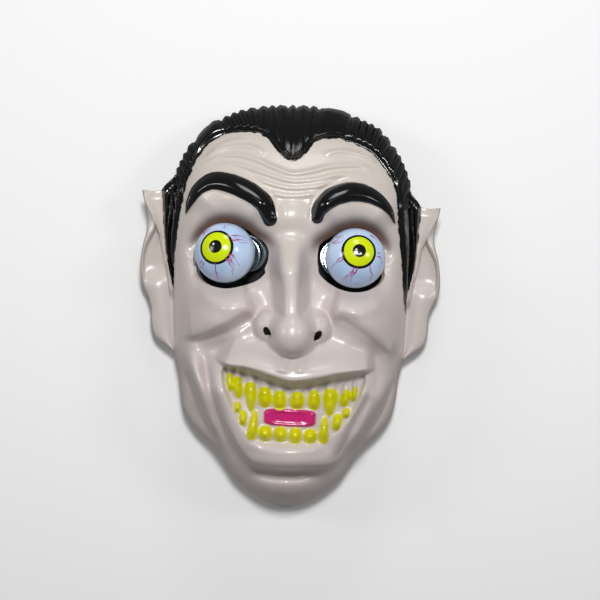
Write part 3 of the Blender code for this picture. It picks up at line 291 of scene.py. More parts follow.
# Ear sections from tip to lobe: share of its length, and root and outer edge as shares of the half
# width and the reach
EAR_SECTIONS = (
    {"down": 0.00, "root": 1.045, "reach": 0.73},
    {"down": 0.08, "root": 1.040, "reach": 0.68},
    {"down": 0.18, "root": 1.030, "reach": 0.60},
    {"down": 0.26, "root": 1.022, "reach": 0.68},
    {"down": 0.34, "root": 1.015, "reach": 0.84},
    {"down": 0.46, "root": 1.000, "reach": 1.00},
    {"down": 0.57, "root": 0.985, "reach": 1.04},
    {"down": 0.66, "root": 0.975, "reach": 0.84},
    {"down": 0.74, "root": 0.965, "reach": 0.76},
    {"down": 0.82, "root": 0.955, "reach": 0.80},
    {"down": 0.90, "root": 0.945, "reach": 0.72},
    {"down": 0.95, "root": 0.935, "reach": 0.45},
    {"down": 1.00, "root": 0.920, "reach": 0.06},
)
# The fold that runs from the tip down into the ear, and the inner edge of the rolled rim: share of the
# ear's length passed, and share of the way from root to edge
EAR_FOLD = ((0.00, 0.054, 0.123, 0.20, 0.277, 0.385, 0.49), (1.00, 0.96, 0.76, 0.50, 0.24, 0.10, 0.02))
EAR_RIM = ((0.20, 0.25, 0.29, 0.34, 0.40, 0.477, 0.54, 0.60),
           (0.50, 0.52, 0.64, 0.79, 0.86, 0.86, 0.83, 0.84))

# Levels of the ear over its plate, in millimetres, and how much each rises or rounds off
EAR_RELIEF = {"front": 2.2, "front_rise": 2.6, "rim": 4.2, "rim_round": 2.6, "slope_fall": 5.0,
              "hollow": -2.6, "hollow_round": 2.2, "lobe": 3.6, "lobe_round": 3.2,
              "strip": 3.6, "strip_lock": 1.0, "edge_roll": 3.0, "tip_curl": 1.8}

# Each eye: the side that it is on, its shift along the face, how far its spring stands in and up from
# the ball, the sideways and upward parts of its gaze, and the painted highlights on its pupil, pale dots
# standing in for reflections of the light: across, along and radius in millimetres
EYES = (
    {"name": "left", "side": -1, "lift": 0.0010, "spring_in": 0.0150, "spring_up": 0.0015,
     "look": (-0.285, 0.185), "painted_glints": ((-1.3, 1.6, 0.75),)},
    {"name": "right", "side": 1, "lift": -0.0010, "spring_in": 0.0104, "spring_up": 0.0010,
     "look": (0.100, 0.230), "painted_glints": ((-2.0, 0.6, 0.7), (0.9, -2.1, 0.8), (-0.4, -2.5, 0.6))},
)
# Edges of the eye openings around the ball's centre, as shares of the ball's radius
OPENINGS = {
    "left": (
        (0.05, 1.05), (0.32, 1.01), (0.59, 0.91), (0.78, 0.78), (0.93, 0.66), (1.13, 0.53), (1.32, 0.37),
        (1.43, 0.18), (1.47, -0.02), (1.43, -0.28), (1.34, -0.50), (1.37, -0.62), (1.26, -0.77),
        (1.05, -0.93), (0.72, -1.06), (0.37, -1.16), (0.05, -1.20), (-0.28, -1.16), (-0.57, -1.06),
        (-0.82, -0.88), (-0.97, -0.64), (-1.00, -0.47), (-1.08, -0.43), (-1.12, -0.28), (-1.12, -0.07),
        (-1.08, 0.16), (-1.00, 0.37), (-0.86, 0.61), (-0.67, 0.81), (-0.45, 0.95), (-0.20, 1.03),
    ),
    "right": (
        (-0.05, 1.05), (0.22, 1.04), (0.51, 0.94), (0.73, 0.80), (0.89, 0.62), (1.01, 0.35), (1.06, 0.06),
        (1.04, -0.22), (1.01, -0.41), (1.04, -0.54), (0.99, -0.70), (0.87, -0.84), (0.68, -0.97),
        (0.49, -1.07), (0.22, -1.14), (-0.11, -1.15), (-0.43, -1.08), (-0.68, -0.97), (-0.92, -0.82),
        (-1.11, -0.65), (-1.22, -0.49), (-1.23, -0.33), (-1.26, -0.16), (-1.26, 0.11), (-1.23, 0.32),
        (-1.16, 0.49), (-0.97, 0.64), (-0.76, 0.77), (-0.54, 0.90), (-0.32, 0.99),
    ),
}
# Veins as drawn on each ball seen from the front: points in shares of its radius, and the line's width
VEINS = {
    "left": (
        {"width": 1.0, "path": ((0.24, 0.54), (0.36, 0.56), (0.48, 0.55), (0.60, 0.54), (0.71, 0.50))},
        {"width": 1.1, "path": ((0.24, 0.42), (0.34, 0.39), (0.43, 0.42), (0.51, 0.34),
                                (0.64, 0.32), (0.77, 0.33))},
        {"width": 0.7, "path": ((0.43, 0.42), (0.56, 0.42), (0.76, 0.39))},
        {"width": 0.6, "path": ((0.30, 0.47), (0.38, 0.49), (0.46, 0.47))},
        {"width": 0.9, "path": ((0.13, -0.10), (0.29, -0.08), (0.37, -0.20), (0.44, -0.31), (0.53, -0.44))},
        {"width": 0.9, "path": ((0.06, -0.23), (0.17, -0.31), (0.22, -0.42), (0.29, -0.50),
                                (0.27, -0.60), (0.30, -0.74))},
        {"width": 0.8, "path": ((0.18, -0.11), (0.25, -0.26), (0.33, -0.33), (0.38, -0.45))},
        {"width": 0.7, "path": ((0.10, -0.20), (0.21, -0.27), (0.30, -0.40), (0.34, -0.52), (0.28, -0.64))},
        {"width": 0.6, "path": ((0.29, -0.10), (0.27, -0.22), (0.17, -0.31))},
        {"width": 0.8, "path": ((-0.28, -0.36), (-0.26, -0.50), (-0.26, -0.62), (-0.19, -0.72),
                                (-0.17, -0.90))},
        {"width": 0.8, "path": ((-0.26, -0.62), (-0.24, -0.74), (-0.22, -0.88))},
        {"width": 0.8, "path": ((-0.72, -0.27), (-0.76, -0.34), (-0.83, -0.40))},
        {"width": 0.8, "path": ((-0.66, -0.33), (-0.68, -0.44), (-0.74, -0.53))},
        {"width": 0.6, "path": ((-0.74, -0.35), (-0.69, -0.42))},
        {"width": 0.6, "path": ((-0.02, 0.77), (0.00, 0.87), (0.09, 0.90), (0.21, 0.93))},
        {"width": 0.8, "path": ((-0.78, 0.58), (-0.70, 0.66), (-0.60, 0.70), (-0.49, 0.81))},
        {"width": 0.8, "path": ((-0.72, 0.55), (-0.63, 0.70), (-0.55, 0.72))},
        {"width": 0.6, "path": ((-0.68, 0.62), (-0.62, 0.75))},
    ),
    "right": (
        {"width": 0.8, "path": ((-0.44, -0.01), (-0.45, -0.09), (-0.56, -0.14), (-0.67, -0.20),
                                (-0.78, -0.33), (-0.82, -0.44))},
        {"width": 0.8, "path": ((-0.47, -0.01), (-0.59, -0.07), (-0.66, -0.19), (-0.76, -0.31))},
        {"width": 1.0, "path": ((-0.06, -0.31), (-0.10, -0.43), (-0.20, -0.52), (-0.28, -0.61),
                                (-0.40, -0.74))},
        {"width": 1.1, "path": ((0.04, -0.32), (0.01, -0.46), (-0.08, -0.58), (-0.14, -0.70),
                                (-0.18, -0.80))},
        {"width": 0.8, "path": ((-0.08, -0.44), (-0.14, -0.56), (-0.24, -0.66), (-0.30, -0.78))},
        {"width": 0.7, "path": ((0.00, -0.48), (-0.12, -0.54), (-0.16, -0.66))},
        {"width": 0.6, "path": ((-0.24, -0.60), (-0.34, -0.63), (-0.42, -0.72))},
        {"width": 0.8, "path": ((0.45, -0.24), (0.48, -0.42), (0.54, -0.54), (0.49, -0.62), (0.48, -0.75))},
        {"width": 0.6, "path": ((0.50, -0.46), (0.56, -0.56), (0.55, -0.62))},
        {"width": 0.8, "path": ((0.70, 0.14), (0.78, 0.17), (0.84, 0.15))},
        {"width": 0.8, "path": ((0.70, 0.06), (0.80, 0.02), (0.85, -0.08), (0.87, -0.18))},
        {"width": 0.7, "path": ((0.70, 0.02), (0.78, 0.06), (0.84, 0.00))},
        {"width": 0.7, "path": ((-0.79, 0.47), (-0.70, 0.52), (-0.60, 0.60), (-0.42, 0.66))},
        {"width": 0.7, "path": ((-0.75, 0.44), (-0.62, 0.48), (-0.54, 0.48), (-0.42, 0.57))},
        {"width": 0.7, "path": ((-0.67, 0.66), (-0.55, 0.68), (-0.47, 0.74), (-0.42, 0.69))},
        {"width": 0.6, "path": ((-0.62, 0.58), (-0.57, 0.50))},
        {"width": 0.7, "path": ((0.45, 0.74), (0.56, 0.70), (0.64, 0.66), (0.71, 0.60))},
        {"width": 0.6, "path": ((0.50, 0.76), (0.62, 0.62))},
    ),
}

# Square soft lights, all aimed at one place over the rim, and the even light from all around
LIGHTS = (
    {"name": "key softbox", "spot": (0.04, 0.42, 1.18), "size": 0.20, "watts": 10.0},
    {"name": "left softbox", "spot": (-0.80, 0.25, 0.65), "size": 0.25, "watts": 1.3},
    {"name": "right softbox", "spot": (0.80, 0.25, 0.80), "size": 0.25, "watts": 1.5},
    {"name": "top strip", "spot": (0.05, 1.00, 0.55), "size": 0.30, "watts": 1.4},
)
LIGHT_AIM = Vector((0, 0, 0.04))
EVEN_LIGHT = 0.15

MILLIMETRE = 0.001
PATH_STEPS = 6
PAINT_LAYERS = ("hair", "brow", "teeth", "tongue", "strand", "shade")

# Half sizes of a nostril, and the rounded lip of an opening: its turn inwards, its round and its depth
NOSTRIL_WIDE, NOSTRIL_TALL = 0.0026, 0.0043
LIP_TURN, LIP_ROUND, LIP_DEPTH = 0.0003, 0.0004, 0.0008
# The lids: how far they dip below and above a ball, and over what distance
LID_DIP_BELOW, LID_DIP_ABOVE, LID_REACH = 0.0010, 0.0050, 0.0045
# The strip of hair beside an ear: its share past the ear's root, its slant, and where it narrows away
STRIP_SHARE, STRIP_SLANT, STRIP_NARROWS = 0.35, 0.014, 0.25
# Combed locks: lines per radian, relief as a share of the depth, and how far they stand past the outline
LOCKS_PER_RADIAN, LOCK_RISE, LOCK_OVERHANG = 105, 0.024, 0.018
# A strap slot: its centre along the face and over the rim, its half sizes, and the roundness of its ends
SLOT_ALONG, SLOT_OVER, SLOT_HALF_LONG, SLOT_HALF_TALL, SLOT_ROUND = 0.020, 0.010, 0.009, 0.0025, 0.35
# The lining: how far around it looks for the lowest level, and how much deeper and further in it lies
LINING_LOOK, LINING_DEEPER, LINING_INSET, LINING_SETTLES = 0.0028, 0.0008, 0.0010, 0.008
# The wound spring: the gap between turns, its gap to the seats, and the rounding of a ball's cut edge
COIL_GAP, COIL_SEAT, BALL_EDGE = 0.0002, 0.0003, 0.0004
# Half width of a printed vein, and its height over the ball
VEIN_HALF, VEIN_PROUD = 0.00042, 0.00003
# Printed rings of an eye, in millimetres from its axis: outline, iris and pupil
RING_RADIUS, IRIS_RADIUS, PUPIL_RADIUS = 11.5, 9.9, 4.4
# How finely the turned and wound pieces are divided
COIL_STEPS, WIRE_SIDES, CUP_STEPS, BALL_STEPS = 44, 12, 96, 96
LINING_COLUMNS, LINING_ROWS = 120, 180
EAR_COLUMNS, EAR_ROWS = 84, 150


def colour(hex_code):
    """Linear colour of an sRGB hex code."""
    parts = [int(hex_code[start:start + 2], 16) / 255 for start in (0, 2, 4)]
    return tuple(part / 12.92 if part <= 0.04045 else ((part + 0.055) / 1.055) ** 2.4 for part in parts)


def colour_prop(name, hex_code, text):
    return FloatVectorProperty(name=name, description=text, subtype="COLOR", size=3, min=0, max=1,
                               default=colour(hex_code))


def length_prop(name, metres, text):
    return FloatProperty(name=name, description=text, default=metres, unit="LENGTH", precision=4)


class FaceSettings(PropertyGroup):
    """Sizes and colours of the moulding."""
    length: length_prop("Length", 0.280, "Hair top to chin")
    width: length_prop("Width", 0.172, "Across the temples, without the ears")
    depth: length_prop("Depth", 0.070, "Rear rim to the general level of the face")
    wall: length_prop("Wall", 0.0016, "Wall of the moulding")
    ear_reach: length_prop("Ear reach", 0.018, "How far an ear stands out past the temple")
    ear_level: length_prop("Ear level", 0.024, "Height of the ear over the rim")
    ear_wall: length_prop("Ear wall", 0.0030, "Thickness of the ear")
    columns: IntProperty(name="Columns", description="Cells across the face", default=245)
    rows: IntProperty(name="Rows", description="Cells along the face", default=398)
    skin: colour_prop("Skin", "C9BFB8", "Moulded skin")
    # The warm and cool skins are painted light and shade: the face is painted warmer towards the top and
    # greyer towards the chin, as the light and a green spill fell on it
    skin_warm_painted_light: colour_prop("Warm skin", "CDC4BB", "Skin over the forehead and nose")
    skin_cool_painted_shade: colour_prop("Cool skin", "C9BEBB", "Skin low on the cheeks and jaw")
    # The socket colour is painted shade: brown laid into the recess between each ball and its brow
    socket: colour_prop("Socket", "7A5A4A", "Sprayed shading over the eyes")
    hair: colour_prop("Hair", "020303", "Painted hair and brows")
    teeth: colour_prop("Teeth", "D3D000", "Painted teeth")
    tongue: colour_prop("Tongue", "C8206F", "Painted tongue")


class EyeSettings(PropertyGroup):
    """Sizes and colours of the eyes."""
    diameter: length_prop("Diameter", 0.040, "Eyeball")
    wall: length_prop("Wall", 0.0012, "Wall of the eyeball")
    cut: length_prop("Cut", 0.0115, "How far behind its centre the ball is cut open")
    spacing: length_prop("Spacing", 0.0868, "Between the centres of the balls")
    line: length_prop("Line", 0.0342, "Height of the eyes along the face")
    level: length_prop("Level", 0.065, "Centre of a ball over the rim")
    cup_radius: length_prop("Cup radius", 0.0285, "Outside of the cup")
    cup_wall: length_prop("Cup wall", 0.0015, "Wall of the cup")
    cup_back: length_prop("Cup back", 0.034, "Back of the cup over the rim")
    cup_spacing: length_prop("Cup spacing", 0.0820, "Between the middles of the cups")
    cup_line: length_prop("Cup line", 0.0338, "Height of the cups along the face")
    sight_hole: length_prop("Sight hole", 0.0120, "Radius of the hole in the cup's floor")
    coil_radius: length_prop("Coil radius", 0.0120, "Middle of the spring's wire")
    wire_thickness: length_prop("Wire thickness", 0.0008, "Along the spring")
    wire_width: length_prop("Wire width", 0.0030, "Across the wire")
    turns: IntProperty(name="Turns", description="Turns of the spring", default=5)
    white: colour_prop("White", "B2CBEE", "Printed ball")
    iris: colour_prop("Iris", "CDE000", "Printed iris")
    ring: colour_prop("Ring", "060606", "Printed pupil and ring")
    veins: colour_prop("Veins", "A03C72", "Printed veins")
    cup: colour_prop("Cup", "050505", "Moulded cup")
    steel: colour_prop("Steel", "C8D4DE", "Spring wire")


class StageSettings(PropertyGroup):
    """The camera, the floor and the light."""
    distance: length_prop("Distance", 1.150, "Camera over the rim")
    right: length_prop("Right", 0.0071, "Camera to the right of the face's middle")
    up: length_prop("Up", 0.0047, "Camera above the face's middle")
    focal: FloatProperty(name="Focal length", description="On a 36 mm sensor, in mm", default=97.8)
    roll: FloatProperty(name="Roll", description="Turn of the camera", subtype="ANGLE",
                        default=math.radians(1.0))
    floor: colour_prop("Floor", "F4F4F4", "Plain pale floor")


def smooth_line(points, steps=PATH_STEPS, closed=False):
    """Points along a Catmull-Rom curve through the given ones."""
    given = np.array(points, float)
    if closed:
        padded = np.vstack([given[-1], given, given[0], given[1]])
    else:
        padded = np.vstack([2 * given[0] - given[1], given, 2 * given[-1] - given[-2]])
    share = np.linspace(0, 1, steps, endpoint=False)[:, None]
    rows = []
    for before, start, end, after in zip(padded, padded[1:], padded[2:], padded[3:]):
        rows.append(0.5 * (2 * start + (end - before) * share
                           + (2 * before - 5 * start + 4 * end - after) * share**2
                           + (3 * start - before - 3 * end + after) * share**3))
    if not closed:
        rows.append(given[-1:])
    return np.vstack(rows)


def nearest_on(line, x, y):
    """Distance to the line, its sign (positive to the left of travel) and the share of the line passed."""
    best = np.full(x.shape, np.inf)
    side = np.ones(x.shape)
    share = np.zeros(x.shape)
    count = len(line) - 1
    for index in range(count):
        start, end = line[index], line[index + 1]
        along = end - start
        dx, dy = x - start[0], y - start[1]
        part = np.clip((dx * along[0] + dy * along[1]) / (along @ along), 0, 1)
        away = np.hypot(dx - part * along[0], dy - part * along[1])
        nearer = away < best
        best = np.where(nearer, away, best)
        side = np.where(nearer, np.sign(along[0] * dy - along[1] * dx), side)
        share = np.where(nearer, (index + part) / count, share)
    return best, side, share


def inside_of(line, x, y):
    """Whether each point lies inside the closed line."""
    found = np.zeros(x.shape, bool)
    for (x0, y0), (x1, y1) in zip(line, np.roll(line, -1, axis=0)):
        if y0 == y1:
            continue
        crosses = (y0 > y) != (y1 > y)
        found ^= crosses & (x < (x1 - x0) * (y - y0) / (y1 - y0) + x0)
    return found


def depth_in(line, x, y):
    """How far inside the closed line each point lies; negative outside."""
    away, _, _ = nearest_on(np.vstack([line, line[:1]]), x, y)
    return np.where(inside_of(line, x, y), away, -away)


def close_to(line, x, y, margin):
    """The points in the line's box, grown by the margin."""
    low, high = line.min(axis=0) - margin, line.max(axis=0) + margin
    return (x > low[0]) & (x < high[0]) & (y > low[1]) & (y < high[1])


def scaled(face, points):
    """Shares of the half width and half length as metres."""
    return np.array(points, float) * (face.width / 2, face.length / 2)


def smooth_step(value):
    """0 to 1 with a soft start and end."""
    value = np.clip(value, 0, 1)
    return value * value * (3 - 2 * value)


def rim_radius(face, x, y):
    """Distance from the middle of the face to its outline, in the direction of each point."""
    rows = [(row["width"], row["height"]) for row in OUTLINE]
    half = scaled(face, np.maximum(smooth_line(rows), (0.0, -1.0)))
    turn = np.arctan2(half[:, 1], half[:, 0])[::-1]
    reach = np.hypot(half[:, 0], half[:, 1])[::-1]
    return np.interp(np.arctan2(y, np.abs(x)), turn, reach)


def crown(face, x, y):
    """The plain domed face: its level, and how far out towards the rim each point is."""
    outward = np.minimum(np.hypot(x, y) / rim_radius(face, x, y), 1)
    heights = np.array([row["height"] for row in LEVELS])[::-1] * face.length / 2
    levels = np.array([row["level"] for row in LEVELS])[::-1]
    level = sum(np.interp(y + shift * face.length / 2, heights, levels)
                for shift in (-0.06, -0.03, 0, 0.03, 0.06)) / 5
    # The face turns into its side walls squarely and meets the rim steeply
    return face.depth * level * (1 - outward**3.0) ** (1 / 2.2), outward


def within_form(face, x, y, row):
    """Each point's place in a turned form, in half sizes: sideways and up from its centre."""
    turn = math.radians(row["turn"])
    dx, dy = x - row["x"] * face.width / 2, y - row["y"] * face.length / 2
    sideways = (dx * math.cos(turn) + dy * math.sin(turn)) / (row["wide"] * face.width / 2)
    upwards = (dy * math.cos(turn) - dx * math.sin(turn)) / (row["tall"] * face.length / 2)
    return sideways, upwards


def mound(face, x, y, row):
    """A broad low swelling or hollow that fades to nothing at its edge."""
    along, across = within_form(face, x, y, row)
    return row["rise"] * face.depth * (1 - np.clip(along**2 + across**2, 0, 1)) ** 2


def fold(face, x, y, row):
    """A ridge or groove along a path, with its own reach on each side and fading ends."""
    line = scaled(face, smooth_line(row["path"]))
    found = np.zeros(x.shape)
    near = close_to(line, x, y, 2.6 * max(row["left"], row["right"]) * face.width / 2)
    away, side, share = nearest_on(line, x[near], y[near])
    reach = np.where(side > 0, row["left"], row["right"]) * face.width / 2
    start, end = row["fade"]
    ends = (smooth_step(share / start) if start else 1) * (smooth_step((1 - share) / end) if end else 1)
    found[near] = row["rise"] * face.depth * ends * np.exp(-((away / reach) ** row.get("power", 2)))
    return found


def blend_up(first, second, width):
    """The higher of two levels, with a soft join of the given width."""
    gap = np.clip(0.5 + 0.5 * (second - first) / width, 0, 1)
    return first * (1 - gap) + second * gap + width * gap * (1 - gap)


def knob(face, x, y, row):
    """A round swelling: a ball over the row's level, falling away steeply outside it."""
    radius = row["radius"] * face.width / 2
    out = np.hypot(x - row["x"] * face.width / 2, (y - row["y"] * face.length / 2) / row["stretch"])
    ball = np.sqrt(np.maximum(radius**2 - out**2, 0))
    return row["level"] * face.depth + ball - 3 * np.maximum(out - radius, 0)


def pad(face, x, y, row, squareness=2.6):
    """How deep each point lies in a tooth or the tongue: 1 in its middle, 0 at its edge, below 0 outside."""
    across, along = within_form(face, x, y, row)
    taper = np.maximum(1 + row["point"] * np.clip(along, -1, 1) * 0.8, 0.2)
    return 1 - (np.abs(across / taper) ** squareness + np.abs(along) ** squareness) ** (1 / squareness)


def brow_depth(face, x, y, row):
    """How far inside the brow each point lies, and the brow's half width there, in metres."""
    line = scaled(face, smooth_line(row["path"]))
    away, _, share = nearest_on(line, x, y)
    half = np.interp(share, np.linspace(0, 1, len(row["half"])), row["half"]) * face.width / 2
    return half - away, half


def hair_depth(face, x, y):
    """How far inside the hair each point lies, in metres; negative on the skin."""
    line = scaled(face, smooth_line(HAIRLINE))
    far = 2.0
    around = np.vstack([line, (far, line[-1][1]), (far, far), (-far, far), (-far, line[0][1])])
    away, _, _ = nearest_on(line, x, y)
    return np.where(inside_of(around, x, y), away, -away)


def strand_phase(face, x, y):
    """Runs across the locks of the hair, which are combed back from the face and lie about 7 mm apart."""
    turn = np.arctan2(x, y + 0.80 * face.length / 2)
    out = np.hypot(x, y) / rim_radius(face, x, y)
    swept = turn - 0.10 * np.sign(x) * smooth_step(np.abs(x) / 0.012) * (out - 0.8)
    return swept * LOCKS_PER_RADIAN + 2.6 * np.sin(swept * 19 + 1.0) + 1.5 * np.sin(swept * 37 + out * 6)


def lock_height(face, x, y):
    """Relief of the combed locks: rounded ridges with narrow valleys, finer lines on them."""
    phase = strand_phase(face, x, y)
    return np.abs(np.sin(phase)) ** 0.8 + 0.22 * np.abs(np.sin(phase * 3 + 0.5))


def socket_shade(eyes, x, y):
    """Strength of the painted shade in the recess between each ball and its brow."""
    shade = np.zeros(x.shape)
    for eye in EYES:
        edge = opening_line(eyes, eye)
        centre = eye_centre(eyes, eye)
        out = np.maximum(-depth_in(edge, x, y), 0)
        above = smooth_step((y - centre.y - 0.002) / 0.012)
        shade = np.maximum(shade, above * np.exp(-((out / 0.0055) ** 2)))
    return shade


def paint_of(face, eyes, x, y):
    """How deep each point lies in each painted area, in metres, and the phase of the comb lines."""
    brow = np.full(x.shape, -1.0)
    for row in BROWS:
        brow = np.maximum(brow, brow_depth(face, x, y, row)[0])
    teeth = np.full(x.shape, -1.0)
    for row in TEETH:
        half = min(row["wide"] * face.width, row["tall"] * face.length) / 2
        teeth = np.maximum(teeth, pad(face, x, y, row) * half)
    tongue = pad(face, x, y, TONGUE, 5) * TONGUE["tall"] * face.length / 2
    return {
        "hair": hair_depth(face, x, y),
        "brow": brow,
        "teeth": teeth,
        "tongue": tongue,
        "strand": strand_phase(face, x, y),
        "shade": socket_shade(eyes, x, y),
    }


def opening_line(eyes, eye):
    """Edge of an eye's opening, in metres."""
    centre = eye_centre(eyes, eye)
    edge = smooth_line(OPENINGS[eye["name"]], 4, closed=True) * (eyes.diameter / 2)
    return edge + (centre.x, centre.y)


def nostril_line(face, row):
    """Edge of a nostril, in metres."""
    turn = math.radians(row["turn"])
    around = np.linspace(0, math.tau, 24, endpoint=False)
    across, along = np.cos(around) * NOSTRIL_WIDE, np.sin(around) * NOSTRIL_TALL
    return np.column_stack([
        row["x"] * face.width / 2 + across * math.cos(turn) - along * math.sin(turn),
        row["y"] * face.length / 2 + across * math.sin(turn) + along * math.cos(turn),
    ])


def face_height(face, eyes, x, y, small=True):
    """Level of the face's front over the rim at each point; the lining leaves the small forms out."""
    height, outward = crown(face, x, y)
    shape = np.zeros(x.shape)
    for row in MOUNDS:
        shape += mound(face, x, y, row)
    for row in FOLDS:
        if small or max(row["left"], row["right"]) > 0.05 or row["rise"] < 0:
            shape += fold(face, x, y, row)
    height = height + shape * smooth_step((1 - outward) / 0.10)
    for row in KNOBS:
        height = blend_up(height, knob(face, x, y, row), row["blend"] * face.depth)
    # The lids dip towards the openings, more above the ball than below it
    for eye in EYES:
        edge = opening_line(eyes, eye)
        near = close_to(edge, x, y, 0.020)
        out = np.maximum(-depth_in(edge, x[near], y[near]), 0)
        above = smooth_step((y[near] - eye_centre(eyes, eye).y) / 0.012 + 0.3)
        height[near] -= (LID_DIP_BELOW + LID_DIP_ABOVE * above) * np.exp(-((out / LID_REACH) ** 2))
    in_mouth = depth_in(scaled(face, smooth_line(MOUTH, closed=True)), x, y)
    # Deepest under the upper lip, and level with the lower lip by the foot of the lower teeth
    sunk = np.clip((y / (face.length / 2) + 0.63) / 0.24, 0.10, 1)
    height = height - MOUTH_SINK * face.depth * sunk * smooth_step(in_mouth / (0.035 * face.width / 2))
    if not small:
        return height
    for row in TEETH:
        domed = np.sin(np.clip(pad(face, x, y, row), 0, 1) * math.pi / 2)
        height = height + TOOTH_RISE * face.depth * domed
    # The gum shows the roots of the upper teeth as soft ribs
    for row in TEETH[:UPPER_TEETH]:
        root = dict(row, y=row["y"] + row["tall"], point=0.0)
        height = height + ROOT_RISE * face.depth * smooth_step(pad(face, x, y, root, 2.0) * 1.5)
    # The tongue has a raised rim
    tongue = pad(face, x, y, TONGUE, 5)
    rimmed = np.sqrt(np.clip(tongue * 6, 0, 1)) - 0.5 * smooth_step((tongue - 0.2) / 0.3)
    height = height + TONGUE_RISE * face.depth * rimmed
    for row in BROWS:
        depth, half = brow_depth(face, x, y, row)
        height = height + BROW_RISE * face.depth * np.sqrt(np.clip(depth / (0.7 * half), 0, 1))
    inner = smooth_step((1 - outward) / 0.04)
    depth = hair_depth(face, x, y)
    hair = smooth_step(depth / (0.05 * face.width / 2)) * inner
    combed = 0.25 + 0.75 * smooth_step((y / (face.length / 2) - 0.62) / 0.22)
    locks = lock_height(face, x, y) * smooth_step(depth / 0.012) * LOCK_RISE * combed
    return height + hair * face.depth * (HAIR_RISE - 0.012 + locks)


def piece_of(name, body, material, node="", part="mask"):
    """The finished object of a mesh in work, riding on its body and standing for its node."""
    mesh = bpy.data.meshes.new(name)
    body.to_mesh(mesh)
    body.free()
    mesh.materials.append(material)
    mesh.shade_smooth()
    piece = bpy.data.objects.new(name, mesh)
    bpy.context.scene.collection.objects.link(piece)
    if part:
        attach(piece, part)
    if node:
        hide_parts(node)
    return piece


def drawn_on(body, ring, places, closed=True):
    """Extrudes a row of vertices once, puts the new one in place and returns it in the same order."""
    ends = ring[1:] + ring[:1] if closed else ring[1:]
    edges = [body.edges.get(pair) for pair in zip(ring, ends)]
    fresh = set(verts_in(bmesh.ops.extrude_edge_only(body, edges=edges)["geom"]))
    drawn = []
    for vertex in ring:
        drawn.append(next(edge.other_vert(vertex) for edge in vertex.link_edges
                          if edge.other_vert(vertex) in fresh))
    for vertex, place in zip(drawn, places):
        vertex.co = place
    return drawn


def flat_grid(face, columns, rows):
    """A square grid spread over the outline of the face, closer together down the side walls."""
    sheet = bmesh.new()
    bmesh.ops.create_grid(sheet, x_segments=columns, y_segments=rows, size=1)
    flat = np.array([vertex.co[:2] for vertex in sheet.verts])
    a, b = flat[:, 0], flat[:, 1]
    x, y = a * np.sqrt(1 - b * b / 2), b * np.sqrt(1 - a * a / 2)
    out = np.minimum(np.hypot(x, y), 1)
    warped = 0.22 * out + 0.78 * np.sin(out * math.pi / 2)
    reach = rim_radius(face, x, y) * warped / np.maximum(out, 1e-9)
    for vertex, place in zip(sheet.verts, np.column_stack([x * reach, y * reach]).tolist()):
        vertex.co = (*place, 0)
    return sheet


def cut_hole(sheet, line, axes=(0, 1), beside=None):
    """Opens the sheet inside a closed line and draws its edge onto it; returns the edge's vertices."""
    first, second = axes
    chosen = [vertex for vertex in sheet.verts if beside is None or beside(vertex.co)]
    flat = np.array([(vertex.co[first], vertex.co[second]) for vertex in chosen])
    near = close_to(line, flat[:, 0], flat[:, 1], 0.003)
    chosen = [vertex for vertex, kept in zip(chosen, near) if kept]
    flat = flat[near]
    within = inside_of(line, flat[:, 0], flat[:, 1])
    place = {vertex: spot for vertex, spot, kept in zip(chosen, flat, within) if kept}
    gone = [face for face in {face for vertex in place for face in vertex.link_faces}
            if all(vertex in place for vertex in face.verts)]
    bmesh.ops.delete(sheet, geom=gone, context="FACES")
    closed = np.vstack([line, line[:1]])
    starts, along = closed[:-1], np.diff(closed, axis=0)
    edge = [vertex for vertex in place if vertex.is_valid and vertex.link_faces]
    for vertex in edge:
        spot = place[vertex]
        share = np.clip(((spot - starts) * along).sum(axis=1) / (along * along).sum(axis=1), 0, 1)
        nearest = starts + along * share[:, None]
        best = nearest[np.argmin(((nearest - spot) ** 2).sum(axis=1))]
        vertex.co[first], vertex.co[second] = best
    return edge


def hole_lines(face, eyes):
    """The edges of the eye openings and nostrils."""
    return [opening_line(eyes, eye) for eye in EYES] + [nostril_line(face, row) for row in NOSTRILS]


def strap_slot_line():
    """Edge of a strap slot in a side wall: along the face, and over the rim."""
    around = np.linspace(0, math.tau, 28, endpoint=False)
    return np.column_stack([
        SLOT_ALONG + np.sign(np.cos(around)) * np.abs(np.cos(around)) ** SLOT_ROUND * SLOT_HALF_LONG,
        SLOT_OVER + np.sign(np.sin(around)) * np.abs(np.sin(around)) ** SLOT_ROUND * SLOT_HALF_TALL,
    ])


def cut_strap_slots(sheet):
    """Opens both strap slots, low in the side walls; returns each one's edge."""
    return [cut_hole(sheet, strap_slot_line(), (1, 2), lambda spot: side * spot.x > 0.07 and spot.z < 0.02)
            for side in (-1, 1)]


def lining_height(face, eyes, x, y):
    """Level of the rear side: the lowest of the broad forms within reach, less the wall."""
    lowest = face_height(face, eyes, x, y, small=False)
    for step in range(8):
        turn = step * math.tau / 8
        near_x, near_y = x + LINING_LOOK * math.cos(turn), y + LINING_LOOK * math.sin(turn)
        around = face_height(face, eyes, near_x, near_y, small=False)
        plain = crown(face, x, y)[0] - crown(face, near_x, near_y)[0]
        lowest = np.minimum(lowest, around + plain)
    return np.maximum(lowest - face.wall, 0)


def pulled_on(sheet, chosen):
    """Extrudes the open edges between the chosen vertices and returns the new vertices."""
    chosen = set(chosen)
    edges = [edge for edge in sheet.edges if edge.is_boundary and chosen.issuperset(edge.verts)]
    return verts_in(bmesh.ops.extrude_edge_only(sheet, edges=edges)["geom"])


def verts_in(made):
    """The vertices among what an operator made."""
    return [item for item in made if isinstance(item, bmesh.types.BMVert)]


